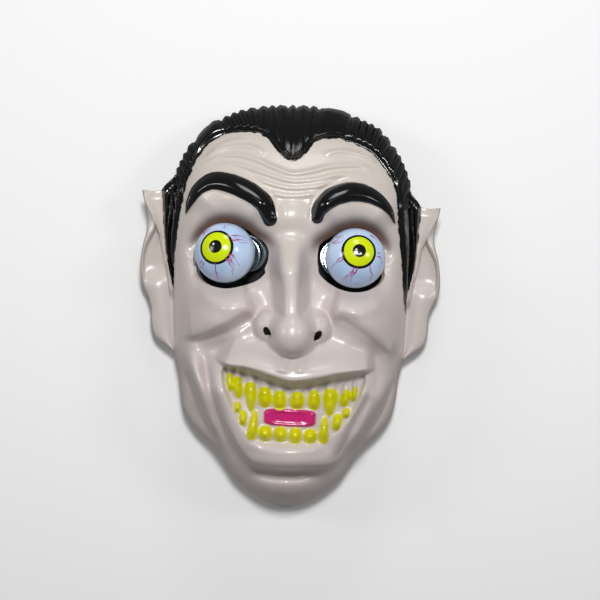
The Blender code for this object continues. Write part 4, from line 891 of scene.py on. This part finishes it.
def moulded_face(face, eyes):
    """The skin, hair, brows, mouth and chin: the front of the moulding."""
    sheet = flat_grid(face, face.columns, face.rows)
    holes = [cut_hole(sheet, line) for line in hole_lines(face, eyes)]
    flat = np.array([vertex.co[:2] for vertex in sheet.verts])
    heights = face_height(face, eyes, flat[:, 0], flat[:, 1])
    # The locks stand out past the plain outline over the top of the head
    out = np.hypot(flat[:, 0], flat[:, 1]) / rim_radius(face, flat[:, 0], flat[:, 1])
    crest = smooth_step((out - 0.80) / 0.18) * smooth_step(hair_depth(face, flat[:, 0], flat[:, 1]) / 0.004)
    crest *= smooth_step((flat[:, 1] / (face.length / 2) - 0.30) / 0.30) * smooth_step(heights / 0.006)
    grow = 1 + crest * (lock_height(face, flat[:, 0], flat[:, 1]) - 0.35) * LOCK_OVERHANG
    for vertex, z, share in zip(sheet.verts, heights.tolist(), grow.tolist()):
        vertex.co = (vertex.co.x * share, vertex.co.y * share, z)
    rim = [vertex for vertex in sheet.verts if vertex.is_boundary and vertex.co.z < 1e-5]
    slots = cut_strap_slots(sheet)
    # Each opening's edge turns down into a rounded lip as deep as the wall
    for edge in holes:
        lip = pulled_on(sheet, edge)
        spots = np.array([vertex.co[:] for vertex in lip])
        middle = spots[:, :2].mean(axis=0)
        inward = middle - spots[:, :2]
        inward /= np.hypot(inward[:, :1], inward[:, 1:])
        for vertex, (dx, dy) in zip(lip, inward * LIP_TURN):
            vertex.co += Vector((dx, dy, -LIP_ROUND))
        foot = pulled_on(sheet, lip)
        below = lining_height(face, eyes, spots[:, 0], spots[:, 1])
        for vertex in foot:
            spot = np.array(vertex.co[:2])
            nearest = np.argmin(((spots[:, :2] - spot) ** 2).sum(axis=1))
            vertex.co.z = min(vertex.co.z - LIP_DEPTH, below[nearest] - 0.0001)
    for edge, side in zip(slots, (-1, 1)):
        for vertex in pulled_on(sheet, edge):
            vertex.co.x -= side * (face.wall + LIP_ROUND)
    for vertex in pulled_on(sheet, rim):
        vertex.co *= 1 - face.wall / vertex.co.length
    bmesh.ops.dissolve_degenerate(sheet, edges=sheet.edges, dist=1e-6)
    places = np.array([vertex.co[:2] for vertex in sheet.verts])
    for name, values in paint_of(face, eyes, places[:, 0], places[:, 1]).items():
        layer = sheet.verts.layers.float.new(name)
        for vertex, value in zip(sheet.verts, values.tolist()):
            vertex[layer] = value
    return sheet


def face_lining(face, eyes):
    """The rear side of the moulding, without the small forms."""
    sheet = flat_grid(face, LINING_COLUMNS, LINING_ROWS)
    for line in hole_lines(face, eyes):
        cut_hole(sheet, line)
    flat = np.array([vertex.co[:2] for vertex in sheet.verts])
    heights = lining_height(face, eyes, flat[:, 0], flat[:, 1])
    # Away from the rim it lies a little deeper, so that its larger facets stay under the skin
    heights = np.maximum(heights - LINING_DEEPER * smooth_step(heights / LINING_SETTLES), 0)
    pulled_in = face.wall + LINING_INSET * smooth_step(heights / LINING_SETTLES)
    inset = 1 - pulled_in / rim_radius(face, flat[:, 0], flat[:, 1])
    for vertex, z, share in zip(sheet.verts, heights.tolist(), inset.tolist()):
        vertex.co = (vertex.co.x * share, vertex.co.y * share, z)
    cut_strap_slots(sheet)
    bmesh.ops.reverse_faces(sheet, faces=sheet.faces[:])
    return sheet


def table_curve(rows, across, value):
    """A smooth curve through two columns of a table."""
    return smooth_line([(row[across], row[value]) for row in rows], 8)


def read_curve(curve, at):
    """The curve's value at a share of its length."""
    return np.interp(at, curve[:, 0], curve[:, 1])


def wall_across(face, y, z):
    """How far across the face its side wall stands at a height over the rim."""
    x = np.linspace(0.55, 1.02, 400) * face.width / 2
    level = crown(face, x, np.full(x.shape, y))[0]
    return float(np.interp(-z, -level, x))


def ear_relief(passed, share):
    """Height of the ear over its plate, in millimetres: front fold, hollow, rolled rim and lobe."""
    fold_at = np.interp(passed, EAR_FOLD[0], EAR_FOLD[1])
    rim_at = np.interp(passed, EAR_RIM[0], EAR_RIM[1])
    levels = EAR_RELIEF
    front = levels["front"] + levels["front_rise"] * np.clip(share / max(fold_at, 0.05), 0, 1) ** 2
    rim_middle = (rim_at + 1) / 2
    rim = levels["rim"] - levels["rim_round"] * ((share - rim_middle) / (1 - rim_middle)) ** 2
    past = np.clip((share - fold_at) / max(1 - fold_at, 0.1), 0, 1)
    slope = levels["rim"] - levels["slope_fall"] * past
    hollow_open = smooth_step((passed - 0.17) / 0.10) * (1 - smooth_step((passed - 0.50) / 0.14))
    hollow = levels["hollow"] + levels["hollow_round"] * np.clip((share - 0.5) / 0.5, -1, 1) ** 2
    lobe = levels["lobe"] - levels["lobe_round"] * (2 * share - 0.9) ** 2
    past_fold = smooth_step((share - fold_at) / 0.09 + 0.5)
    past_rim = smooth_step((share - rim_at) / 0.10 + 0.5)
    upper = slope * (1 - hollow_open) + hollow_open * (hollow * (1 - past_rim) + rim * past_rim)
    upper = front * (1 - past_fold) + upper * past_fold
    low = smooth_step((passed - 0.46) / 0.16)
    return upper * (1 - low) + lobe * low


def ear_plate(face, row):
    """One ear: a plate with a rolled helix, a fold inside it and a hollow, and the hair beside it."""
    side = row["side"]
    root_of, reach_of = (table_curve(EAR_SECTIONS, "down", key) for key in ("root", "reach"))
    body = bmesh.new()
    bmesh.ops.create_grid(body, x_segments=EAR_COLUMNS, y_segments=EAR_ROWS, size=1)
    layers = {name: body.verts.layers.float.new(name) for name in PAINT_LAYERS}
    for vertex in body.verts:
        share = (1 + STRIP_SHARE) * (vertex.co.x + 1) / 2 - STRIP_SHARE
        passed = (1 - vertex.co.y) / 2
        y = row["tip"] - passed * row["length"]
        # The strip of hair beside the ear slants up to the hair of the head
        y += STRIP_SLANT * max(-share, 0) / STRIP_SHARE * (1 - smooth_step(passed / 0.35))
        root = read_curve(root_of, passed) * face.width / 2
        reach = read_curve(reach_of, passed) * face.ear_reach
        level = face.ear_level - 0.008 * passed
        black = 1 - smooth_step((passed - 0.60) / 0.08)
        if share < 0:
            wall = wall_across(face, y, level + 0.004) - 0.001
            x = root + (root - wall) * share / STRIP_SHARE
            lock = abs(math.sin(share * 22 + 1.5 * math.sin(passed * 14)))
            strip = EAR_RELIEF["strip"] + EAR_RELIEF["strip_lock"] * lock
            relief = EAR_RELIEF["front"] + black * smooth_step(-share / 0.10) * strip
        else:
            x = root + reach * share
            relief = float(ear_relief(passed, share))
            # The edge rolls back, more at the pointed tip
            relief -= EAR_RELIEF["edge_roll"] * smooth_step((share - 0.90) / 0.10)
        tip_curl = EAR_RELIEF["tip_curl"] * (1 - smooth_step(passed / 0.06)) * (1 - 1.4 * max(share, 0) ** 2)
        # The top edge between tip and root sags a little
        sag = 0.0008 * math.sin(math.pi * min(max(share, 0), 1)) * (1 - smooth_step(passed / 0.1))
        vertex.co = (side * x, y - sag, level + (relief - tip_curl) * MILLIMETRE)
        for name in ("brow", "teeth", "tongue"):
            vertex[layers[name]] = -1.0
        # The sideburn narrows to a point against the side of the face
        narrowed = 0.36 * max((passed - STRIP_NARROWS) / 0.41, 0) ** 2
        vertex[layers["hair"]] = (-share - 0.02 - narrowed) * 0.02
        vertex[layers["strand"]] = share * 22
    made = bmesh.ops.extrude_face_region(body, geom=body.faces[:], use_keep_orig=True)["geom"]
    for vertex in verts_in(made):
        vertex.co.z -= face.ear_wall
    bmesh.ops.recalc_face_normals(body, faces=body.faces[:])
    return body


def eye_centre(eyes, eye):
    """Centre of an eyeball."""
    return Vector((eye["side"] * eyes.spacing / 2, eyes.line + eye["lift"], eyes.level))


def look_of(eye):
    """The way that an eye looks, as a unit vector."""
    sideways, upwards = eye["look"]
    return Vector((sideways, upwards, math.sqrt(1 - sideways**2 - upwards**2)))


def spring_foot(eyes, eye):
    """Centre of the spring's foot on the cup's floor."""
    centre = eye_centre(eyes, eye)
    return Vector((centre.x - eye["side"] * eye["spring_in"], centre.y + eye["spring_up"],
                   eyes.cup_back + eyes.cup_wall))


def eyeball(eyes, eye):
    """A hollow ball, cut open behind with a rounded edge, facing the way that it looks."""
    outer, inner = eyes.diameter / 2, eyes.diameter / 2 - eyes.wall
    last_out, last_in = math.acos(-eyes.cut / outer), math.acos(-eyes.cut / inner)
    profile = [(outer * math.sin(turn), 0, outer * math.cos(turn)) for turn in np.linspace(0, last_out, 36)]
    profile += [(inner * math.sin(turn), 0, inner * math.cos(turn)) for turn in np.linspace(last_in, 0, 24)]
    body = bmesh.new()
    verts = [body.verts.new(point) for point in profile]
    edges = [body.edges.new(pair) for pair in zip(verts, verts[1:])]
    bmesh.ops.spin(body, geom=verts + edges, axis=(0, 0, 1), cent=(0, 0, 0), angle=math.tau,
                   steps=BALL_STEPS, use_merge=True)
    bmesh.ops.remove_doubles(body, verts=body.verts, dist=1e-6)
    bmesh.ops.recalc_face_normals(body, faces=body.faces[:])
    rim = [edge for edge in body.edges
           if len(edge.link_faces) == 2 and edge.calc_face_angle(0) > 0.9]
    bmesh.ops.bevel(body, geom=rim, offset=BALL_EDGE, segments=3, affect="EDGES", profile=0.5, material=-1)
    turned = look_of(eye).to_track_quat("Z", "Y").to_matrix().to_4x4()
    bmesh.ops.transform(body, matrix=Matrix.Translation(eye_centre(eyes, eye)) @ turned, verts=body.verts)
    return body


def vein_lines(eyes, eye):
    """Thin printed veins that lie on the front of a ball and taper to their ends."""
    radius = eyes.diameter / 2
    centre = eye_centre(eyes, eye)
    body = bmesh.new()
    for row in VEINS[eye["name"]]:
        line = smooth_line(row["path"], 7) * radius
        count = len(line)
        ahead = np.gradient(line, axis=0)
        ahead /= np.maximum(np.hypot(ahead[:, :1], ahead[:, 1:]), 1e-9)
        ring = None
        for index, (spot, way) in enumerate(zip(line, ahead)):
            share = index / (count - 1)
            taper = 0.35 + 0.65 * math.sin(math.pi * min(share * 1.6 + 0.15, 1)) ** 0.5
            half = VEIN_HALF * row["width"] * taper
            half *= 1 + 0.25 * math.sin(index * 2.1 + row["width"] * 9)
            places = []
            for turn in (-1, 1):
                x, y = spot[0] - turn * way[1] * half, spot[1] + turn * way[0] * half
                z = math.sqrt(max(radius**2 - x * x - y * y, 0.0))
                places.append(centre + Vector((x, y, z)).normalized() * (radius + VEIN_PROUD))
            if ring is None:
                ring = [body.verts.new(place) for place in places]
                body.edges.new(ring)
            else:
                ring = drawn_on(body, ring, places, closed=False)
    for face in body.faces:
        face.normal_update()
        if face.normal.dot(face.calc_center_median() - centre) < 0:
            face.normal_flip()
    return body


def wire_section(eyes):
    """The flat wire's section with rounded edges: across and along the coil."""
    around = np.linspace(0, math.tau, WIRE_SIDES, endpoint=False)
    return [(math.copysign(abs(math.cos(turn)) ** 0.4, math.cos(turn)) * eyes.wire_width / 2,
             math.copysign(abs(math.sin(turn)) ** 0.6, math.sin(turn)) * eyes.wire_thickness / 2)
            for turn in around]


def coil(eyes, eye):
    """A flat-wire coil that leans from the cup's floor to the ball's open rim."""
    look = look_of(eye)
    turn_climb = eyes.wire_thickness + COIL_GAP
    lift = COIL_SEAT + eyes.wire_thickness / 2 + turn_climb
    foot = spring_foot(eyes, eye) + Vector((0, 0, lift))
    head = eye_centre(eyes, eye) - look * (eyes.cut + lift)
    middle = foot + Vector((0, 0, 0.5 * (head.z - foot.z)))
    section = wire_section(eyes)
    body = bmesh.new()
    ring = None
    flat = 1 / eyes.turns
    for step in range(eyes.turns * COIL_STEPS + 1):
        share = step / (eyes.turns * COIL_STEPS)
        # The first and last turns lie flat on their seats
        rise = min(max((share - flat) / (1 - 2 * flat), 0), 1)
        spot = foot * (1 - rise) ** 2 + middle * 2 * rise * (1 - rise) + head * rise**2
        axis = Vector((0, 0, 1)).lerp(look, rise).normalized()
        out = Vector((1, 0, 0)) - axis * axis.x
        out.normalize()
        beside = axis.cross(out)
        turn = math.tau * step / COIL_STEPS
        ray = out * math.cos(turn) + beside * math.sin(turn)
        climb = turn_climb * (min(share / flat, 1) - 1 + max((share - 1 + flat) / flat, 0))
        places = [spot + ray * (eyes.coil_radius + across) + axis * (climb + up) for across, up in section]
        if ring is None:
            ring = [body.verts.new(place) for place in places]
            for pair in zip(ring, ring[1:] + ring[:1]):
                body.edges.new(pair)
            body.faces.new(ring)
        else:
            ring = drawn_on(body, ring, places)
    body.faces.new(ring)
    bmesh.ops.recalc_face_normals(body, faces=body.faces[:])
    return body, foot, head


def cup(face, eyes, eye):
    """A black cup: a short tube under the face with a floor round the sight hole."""
    middle = Vector((eye["side"] * eyes.cup_spacing / 2, eyes.cup_line + eye["lift"], 0))
    hole = spring_foot(eyes, eye)
    around = np.linspace(0, math.tau, CUP_STEPS, endpoint=False)
    back, floor = eyes.cup_back, eyes.cup_back + eyes.cup_wall

    def ring(centre, radius, level):
        x = centre.x + radius * np.cos(around)
        y = centre.y + radius * np.sin(around)
        if level is None:
            high = lining_height(face, eyes, x, y) - 0.0004
            return [Vector(place) for place in zip(x, y, high)]
        return [Vector(place) for place in zip(x, y, np.full(CUP_STEPS, level))]

    outer, inner = eyes.cup_radius, eyes.cup_radius - eyes.cup_wall
    soft = 0.0004
    body = bmesh.new()
    places = ring(hole, eyes.sight_hole, back + soft)
    first = [body.verts.new(place) for place in places]
    for pair in zip(first, first[1:] + first[:1]):
        body.edges.new(pair)
    last = first
    for centre, radius, level in (
        (hole, eyes.sight_hole + soft, back), (middle, outer - soft, back), (middle, outer, back + soft),
        (middle, outer, None), (middle, inner, None), (middle, inner, floor + soft),
        (middle, inner - soft, floor), (hole, eyes.sight_hole + soft, floor),
        (hole, eyes.sight_hole, floor - soft),
    ):
        last = drawn_on(body, last, ring(centre, radius, level))
    bmesh.ops.bridge_loops(body, edges=[body.edges.get(pair) for pair in zip(first, first[1:] + first[:1])]
                           + [body.edges.get(pair) for pair in zip(last, last[1:] + last[:1])])
    bmesh.ops.recalc_face_normals(body, faces=body.faces[:])
    return body


def add(tree, kind, inputs=(), **settings):
    """Adds a node with its settings, values and links."""
    made = tree.nodes.new(kind)
    for name, value in settings.items():
        setattr(made, name, value)
    for socket, value in dict(inputs).items():
        if isinstance(value, bpy.types.NodeSocket):
            tree.links.new(value, made.inputs[socket])
        else:
            made.inputs[socket].default_value = value
    return made


def new_material(name):
    """A material with its node tree and its shader."""
    material = bpy.data.materials.new(name)
    material.use_nodes = True
    tree = material.node_tree
    return material, tree, tree.nodes["Principled BSDF"]


def edge_mask(tree, value, low, high):
    """0 below low and 1 above high, with a soft step between."""
    return add(tree, "ShaderNodeMapRange", {0: value, 1: low, 2: high},
               interpolation_type="SMOOTHSTEP").outputs[0]


def mix_colour(tree, share, first, second):
    """The first colour where the share is 0, the second where it is 1."""
    made = add(tree, "ShaderNodeMix", {0: share}, data_type="RGBA")
    for index, value in ((6, first), (7, second)):
        if isinstance(value, bpy.types.NodeSocket):
            tree.links.new(value, made.inputs[index])
        else:
            made.inputs[index].default_value = (*value, 1)
    return made.outputs[2]


def maths(tree, operation, *values):
    """The outcome of a sum on values or links."""
    return add(tree, "ShaderNodeMath", dict(enumerate(values)), operation=operation).outputs[0]


def painted_moulding(face):
    """Vacuum-formed polystyrene, sprayed and painted by hand: glossy, with wavering paint edges."""
    material, tree, shader = new_material("painted_polystyrene_moulding")
    place = add(tree, "ShaderNodeTexCoord").outputs["Object"]

    def layer(name):
        return add(tree, "ShaderNodeAttribute", attribute_name=name).outputs["Fac"]

    def noise(scale, detail=2.0):
        return add(tree, "ShaderNodeTexNoise",
                   {"Vector": place, "Scale": scale, "Detail": detail}).outputs["Fac"]

    # Brush wobble of about 1 mm every 5 mm along the edge of the black paint
    wobble = maths(tree, "MULTIPLY", maths(tree, "SUBTRACT", noise(210.0), 0.5), 0.0030)
    hair = edge_mask(tree, maths(tree, "ADD", layer("hair"), wobble), -0.0003, 0.0003)
    finer = maths(tree, "MULTIPLY", wobble, 0.3)
    brow = edge_mask(tree, maths(tree, "ADD", layer("brow"), finer), -0.0002, 0.0002)
    teeth = edge_mask(tree, layer("teeth"), -0.0001, 0.0002)
    tongue = edge_mask(tree, layer("tongue"), -0.0001, 0.0003)
    black = maths(tree, "MAXIMUM", hair, brow)
    # The skin colour drifts over tens of millimetres, as sprayed plastic does
    drift = edge_mask(tree, noise(22.0, 1.0), 0.2, 0.8)
    # Painted light and shade: the skin turns warmer towards the top of the face and greyer towards the chin
    height = add(tree, "ShaderNodeSeparateXYZ", {0: place}).outputs["Y"]
    upper = edge_mask(tree, height, -0.02, 0.10)
    tone = mix_colour(tree, upper, face.skin_cool_painted_shade, face.skin_warm_painted_light)
    tone = mix_colour(tree, maths(tree, "MULTIPLY", drift, 0.4), tone, face.skin)
    # Painted shade: brown in the recess between each ball and its brow
    tone = mix_colour(tree, layer("shade"), tone, face.socket)
    tone = mix_colour(tree, tongue, tone, face.tongue)
    tone = mix_colour(tree, teeth, tone, face.teeth)
    tone = mix_colour(tree, black, tone, face.hair)
    tree.links.new(tone, shader.inputs["Base Color"])
    painted = maths(tree, "MAXIMUM", black, maths(tree, "MAXIMUM", teeth, tongue))
    smear = maths(tree, "MULTIPLY", maths(tree, "SUBTRACT", noise(90.0), 0.5), 0.10)
    rough = maths(tree, "ADD", maths(tree, "SUBTRACT", 0.32, maths(tree, "MULTIPLY", painted, 0.16)), smear)
    tree.links.new(rough, shader.inputs["Roughness"])
    # Comb lines about 1.7 mm apart in the black paint, and a faint orange peel in the skin
    lines = maths(tree, "SINE", maths(tree, "MULTIPLY", layer("strand"), 9.0))
    combed = maths(tree, "MULTIPLY", lines, hair)
    peel = maths(tree, "MULTIPLY", noise(700.0), 0.25)
    relief = maths(tree, "ADD", maths(tree, "MULTIPLY", combed, 0.5), peel)
    bump = add(tree, "ShaderNodeBump", {"Height": relief, "Strength": 0.15, "Distance": 0.0003})
    tree.links.new(bump.outputs["Normal"], shader.inputs["Normal"])
    shader.inputs["IOR"].default_value = 1.55
    shader.inputs["Coat Weight"].default_value = 0.15
    shader.inputs["Coat Roughness"].default_value = 0.08
    return material


def printed_ball(eyes, eye):
    """Blow-moulded ball with a printed eye: smooth glossy plastic, crisp ring edges, a pale blue cast."""
    material, tree, shader = new_material(f"printed_polyethylene_ball_{eye['name']}")
    place = add(tree, "ShaderNodeTexCoord").outputs["Object"]
    centre, look = eye_centre(eyes, eye), look_of(eye)

    def vectors(operation, first, second=(0, 0, 0), output="Vector"):
        return add(tree, "ShaderNodeVectorMath", {0: first, 1: second}, operation=operation).outputs[output]

    from_centre = vectors("SUBTRACT", place, tuple(centre))
    axial = vectors("DOT_PRODUCT", from_centre, tuple(look), "Value")
    away = vectors("LENGTH", vectors("CROSS_PRODUCT", from_centre, tuple(look)), output="Value")
    ragged = add(tree, "ShaderNodeTexNoise", {"Vector": place, "Scale": 500.0, "Detail": 1.0}).outputs["Fac"]
    away = maths(tree, "ADD", away, maths(tree, "MULTIPLY", maths(tree, "SUBTRACT", ragged, 0.5), 0.0003))
    front = edge_mask(tree, axial, 0.0, 0.001)

    def disc(radius):
        inside = edge_mask(tree, away, (radius + 0.06) * MILLIMETRE, (radius - 0.06) * MILLIMETRE)
        return maths(tree, "MULTIPLY", inside, front)

    drift = add(tree, "ShaderNodeTexNoise", {"Vector": place, "Scale": 60.0, "Detail": 2.0}).outputs["Fac"]
    tone = mix_colour(tree, edge_mask(tree, drift, 0.3, 0.7), eyes.white, colour("C4D8F4"))
    tone = mix_colour(tree, disc(RING_RADIUS), tone, eyes.ring)
    tone = mix_colour(tree, disc(IRIS_RADIUS), tone, eyes.iris)
    tone = mix_colour(tree, disc(PUPIL_RADIUS), tone, eyes.ring)
    right = Vector((0, 1, 0)).cross(look).normalized()
    up = look.cross(right)
    # Painted highlights: pale dots on the pupil standing in for reflections of the light
    for across, along, radius in eye["painted_glints"]:
        spot = centre + (look * eyes.diameter / 2 + right * across * MILLIMETRE + up * along * MILLIMETRE)
        apart = vectors("DISTANCE", place, tuple(spot), "Value")
        dot = edge_mask(tree, apart, (radius + 0.25) * MILLIMETRE, (radius - 0.25) * MILLIMETRE)
        tone = mix_colour(tree, maths(tree, "MULTIPLY", dot, 0.9), tone, colour("E8EEF6"))
    tree.links.new(tone, shader.inputs["Base Color"])
    shader.inputs["Roughness"].default_value = 0.16
    shader.inputs["IOR"].default_value = 1.51
    shader.inputs["Coat Weight"].default_value = 0.3
    shader.inputs["Coat Roughness"].default_value = 0.05
    return material


def vein_ink(eyes):
    """Screen ink on plastic: a thin slightly matt line."""
    material, tree, shader = new_material("screen_printed_vein_ink")
    place = add(tree, "ShaderNodeTexCoord").outputs["Object"]
    thin = add(tree, "ShaderNodeTexNoise", {"Vector": place, "Scale": 800.0, "Detail": 2.0}).outputs["Fac"]
    tone = mix_colour(tree, edge_mask(tree, thin, 0.3, 0.8), eyes.veins, colour("B45C96"))
    tree.links.new(tone, shader.inputs["Base Color"])
    shader.inputs["Roughness"].default_value = 0.3
    return material


def chromed_wire(eyes):
    """Nickel-plated spring steel, rolled flat: bright, with fine rolling lines."""
    material, tree, shader = new_material("nickel_plated_spring_steel")
    place = add(tree, "ShaderNodeTexCoord").outputs["Object"]
    grain = add(tree, "ShaderNodeTexNoise", {"Vector": place, "Scale": 260.0, "Detail": 3.0}).outputs["Fac"]
    rough = maths(tree, "ADD", 0.10, maths(tree, "MULTIPLY", grain, 0.12))
    tree.links.new(rough, shader.inputs["Roughness"])
    shader.inputs["Base Color"].default_value = (*eyes.steel, 1)
    shader.inputs["Metallic"].default_value = 1.0
    return material


def black_cup_plastic(eyes):
    """Injection-moulded polystyrene: black, satin, with a fine moulded grain."""
    material, tree, shader = new_material("black_moulded_polystyrene")
    place = add(tree, "ShaderNodeTexCoord").outputs["Object"]
    grain = add(tree, "ShaderNodeTexNoise", {"Vector": place, "Scale": 1500.0, "Detail": 2.0}).outputs["Fac"]
    bump = add(tree, "ShaderNodeBump", {"Height": grain, "Strength": 0.15, "Distance": 0.0001})
    tree.links.new(bump.outputs["Normal"], shader.inputs["Normal"])
    rough = maths(tree, "ADD", 0.36, maths(tree, "MULTIPLY", grain, 0.16))
    tree.links.new(rough, shader.inputs["Roughness"])
    shader.inputs["Base Color"].default_value = (*eyes.cup, 1)
    shader.inputs["IOR"].default_value = 1.55
    return material


def bare_lining(face):
    """The unpainted rear of the sheet: pale, satin, with the tool's soft mottle."""
    material, tree, shader = new_material("bare_polystyrene_sheet")
    place = add(tree, "ShaderNodeTexCoord").outputs["Object"]
    mottle = add(tree, "ShaderNodeTexNoise", {"Vector": place, "Scale": 120.0, "Detail": 3.0}).outputs["Fac"]
    tone = mix_colour(tree, edge_mask(tree, mottle, 0.3, 0.7), face.skin, colour("E2DAD2"))
    tree.links.new(tone, shader.inputs["Base Color"])
    bump = add(tree, "ShaderNodeBump", {"Height": mottle, "Strength": 0.1, "Distance": 0.0004})
    tree.links.new(bump.outputs["Normal"], shader.inputs["Normal"])
    rough = maths(tree, "ADD", 0.38, maths(tree, "MULTIPLY", mottle, 0.14))
    tree.links.new(rough, shader.inputs["Roughness"])
    return material


def shared_material(name, make, *settings):
    """The material of that name, made once."""
    return bpy.data.materials.get(name) or make(*settings)


class MASK_OT_face(Operator):
    """Build the painted face, its rear side and its ears"""
    bl_idname = "mask.face"
    bl_label = "Face and ears"

    def execute(self, context):
        face, eyes = context.scene.mask_face, context.scene.mask_eyes
        paint = shared_material("painted_polystyrene_moulding", painted_moulding, face)
        piece_of("mask_face", moulded_face(face, eyes), paint, "mask_shell")
        bare = shared_material("bare_polystyrene_sheet", bare_lining, face)
        piece_of("mask_lining", face_lining(face, eyes), bare, "mask_shell")
        for row in EARS:
            piece_of(f"mask_ear_{row['name']}", ear_plate(face, row), paint, "mask_shell")
        return {"FINISHED"}


class MASK_OT_cups(Operator):
    """Build the black cups behind the eye openings"""
    bl_idname = "mask.cups"
    bl_label = "Eye cups"

    def execute(self, context):
        face, eyes = context.scene.mask_face, context.scene.mask_eyes
        plastic = shared_material("black_moulded_polystyrene", black_cup_plastic, eyes)
        for eye in EYES:
            name = eye["name"]
            piece_of(f"cup_{name}", cup(face, eyes, eye), plastic, f"eye_cup_{name}")
        return {"FINISHED"}


class MASK_OT_springs(Operator):
    """Wind the flat-wire springs"""
    bl_idname = "mask.springs"
    bl_label = "Springs"

    def execute(self, context):
        eyes = context.scene.mask_eyes
        steel = shared_material("nickel_plated_spring_steel", chromed_wire, eyes)
        for eye in EYES:
            name = eye["name"]
            body, foot, head = coil(eyes, eye)
            piece = piece_of(f"coil_{name}", body, steel, f"spring_{name}", part="")
            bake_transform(piece)
        return {"FINISHED"}


class MASK_OT_eyeballs(Operator):
    """Build the printed eyeballs and their veins"""
    bl_idname = "mask.eyeballs"
    bl_label = "Eyeballs"

    def execute(self, context):
        eyes = context.scene.mask_eyes
        ink = shared_material("screen_printed_vein_ink", vein_ink, eyes)
        for eye in EYES:
            name = eye["name"]
            piece_of(f"ball_{name}", eyeball(eyes, eye), printed_ball(eyes, eye), f"eyeball_{name}",
                     f"{name}_eyeball")
            piece_of(f"veins_{name}", vein_lines(eyes, eye), ink, part=f"{name}_eyeball")
        return {"FINISHED"}


class MASK_OT_stage(Operator):
    """Set up the floor, the light and the camera"""
    bl_idname = "mask.stage"
    bl_label = "Stage"

    def execute(self, context):
        stage = context.scene.mask_stage
        scene = context.scene
        sheet = bmesh.new()
        bmesh.ops.create_grid(sheet, x_segments=1, y_segments=1, size=4)
        mesh = bpy.data.meshes.new("floor")
        sheet.to_mesh(mesh)
        sheet.free()
        floor = bpy.data.objects.new("floor", mesh)
        floor.location.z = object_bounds()[0][2] - 0.0002
        scene.collection.objects.link(floor)
        material, tree, shader = new_material("matt_floor_paper")
        place = add(tree, "ShaderNodeTexCoord").outputs["Object"]
        fibre = add(tree, "ShaderNodeTexNoise", {"Vector": place, "Scale": 900.0}).outputs["Fac"]
        bump = add(tree, "ShaderNodeBump", {"Height": fibre, "Strength": 0.05, "Distance": 0.0001})
        tree.links.new(bump.outputs["Normal"], shader.inputs["Normal"])
        shader.inputs["Base Color"].default_value = (*stage.floor, 1)
        shader.inputs["Roughness"].default_value = 0.8
        mesh.materials.append(material)
        # Paper this matt puts no gloss on the mask's steep sides
        floor.visible_glossy = False
        floor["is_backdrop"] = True

        world = bpy.data.worlds.new("soft studio")
        scene.world = world
        world.use_nodes = True
        back = world.node_tree.nodes["Background"]
        back.inputs["Color"].default_value = (1, 1, 1, 1)
        back.inputs["Strength"].default_value = EVEN_LIGHT
        scene.view_settings.view_transform = "Standard"
        for row in LIGHTS:
            light = bpy.data.lights.new(row["name"], "AREA")
            light.shape = "SQUARE"
            light.size = row["size"]
            light.energy = row["watts"]
            lamp = bpy.data.objects.new(row["name"], light)
            lamp.location = row["spot"]
            way = LIGHT_AIM - Vector(row["spot"])
            lamp.rotation_euler = way.to_track_quat("-Z", "Y").to_euler()
            scene.collection.objects.link(lamp)

        camera = bpy.data.objects.new("camera", bpy.data.cameras.new("camera"))
        camera.data.lens = stage.focal
        camera.data.sensor_width = 36
        camera.location = (stage.right, stage.up, stage.distance)
        camera.rotation_euler = (0, 0, stage.roll)
        camera.data.clip_end = 20
        scene.collection.objects.link(camera)
        scene.camera = camera
        return {"FINISHED"}


class MASK_PT_pieces(Panel):
    """The pieces of the mask"""
    bl_label = "Horror mask"
    bl_idname = "MASK_PT_pieces"
    bl_space_type = "VIEW_3D"
    bl_region_type = "UI"
    bl_category = "Mask"

    def draw(self, context):
        for operator in OPERATORS:
            self.layout.operator(operator.bl_idname)
        for group in (context.scene.mask_face, context.scene.mask_eyes, context.scene.mask_stage):
            box = self.layout.box()
            for name in group.__annotations__:
                box.prop(group, name)


OPERATORS = (MASK_OT_face, MASK_OT_cups, MASK_OT_springs, MASK_OT_eyeballs, MASK_OT_stage)
CLASSES = (FaceSettings, EyeSettings, StageSettings, *OPERATORS, MASK_PT_pieces)


def register():
    for made in CLASSES:
        bpy.utils.register_class(made)
    bpy.types.Scene.mask_face = PointerProperty(type=FaceSettings)
    bpy.types.Scene.mask_eyes = PointerProperty(type=EyeSettings)
    bpy.types.Scene.mask_stage = PointerProperty(type=StageSettings)


def unregister():
    del bpy.types.Scene.mask_face
    del bpy.types.Scene.mask_eyes
    del bpy.types.Scene.mask_stage
    for made in reversed(CLASSES):
        bpy.utils.unregister_class(made)


def main():
    register()
    bpy.ops.mask.face()
    bpy.ops.mask.cups()
    bpy.ops.mask.springs()
    bpy.ops.mask.eyeballs()
    bpy.ops.mask.stage()


if __name__ == "__main__":
    main()
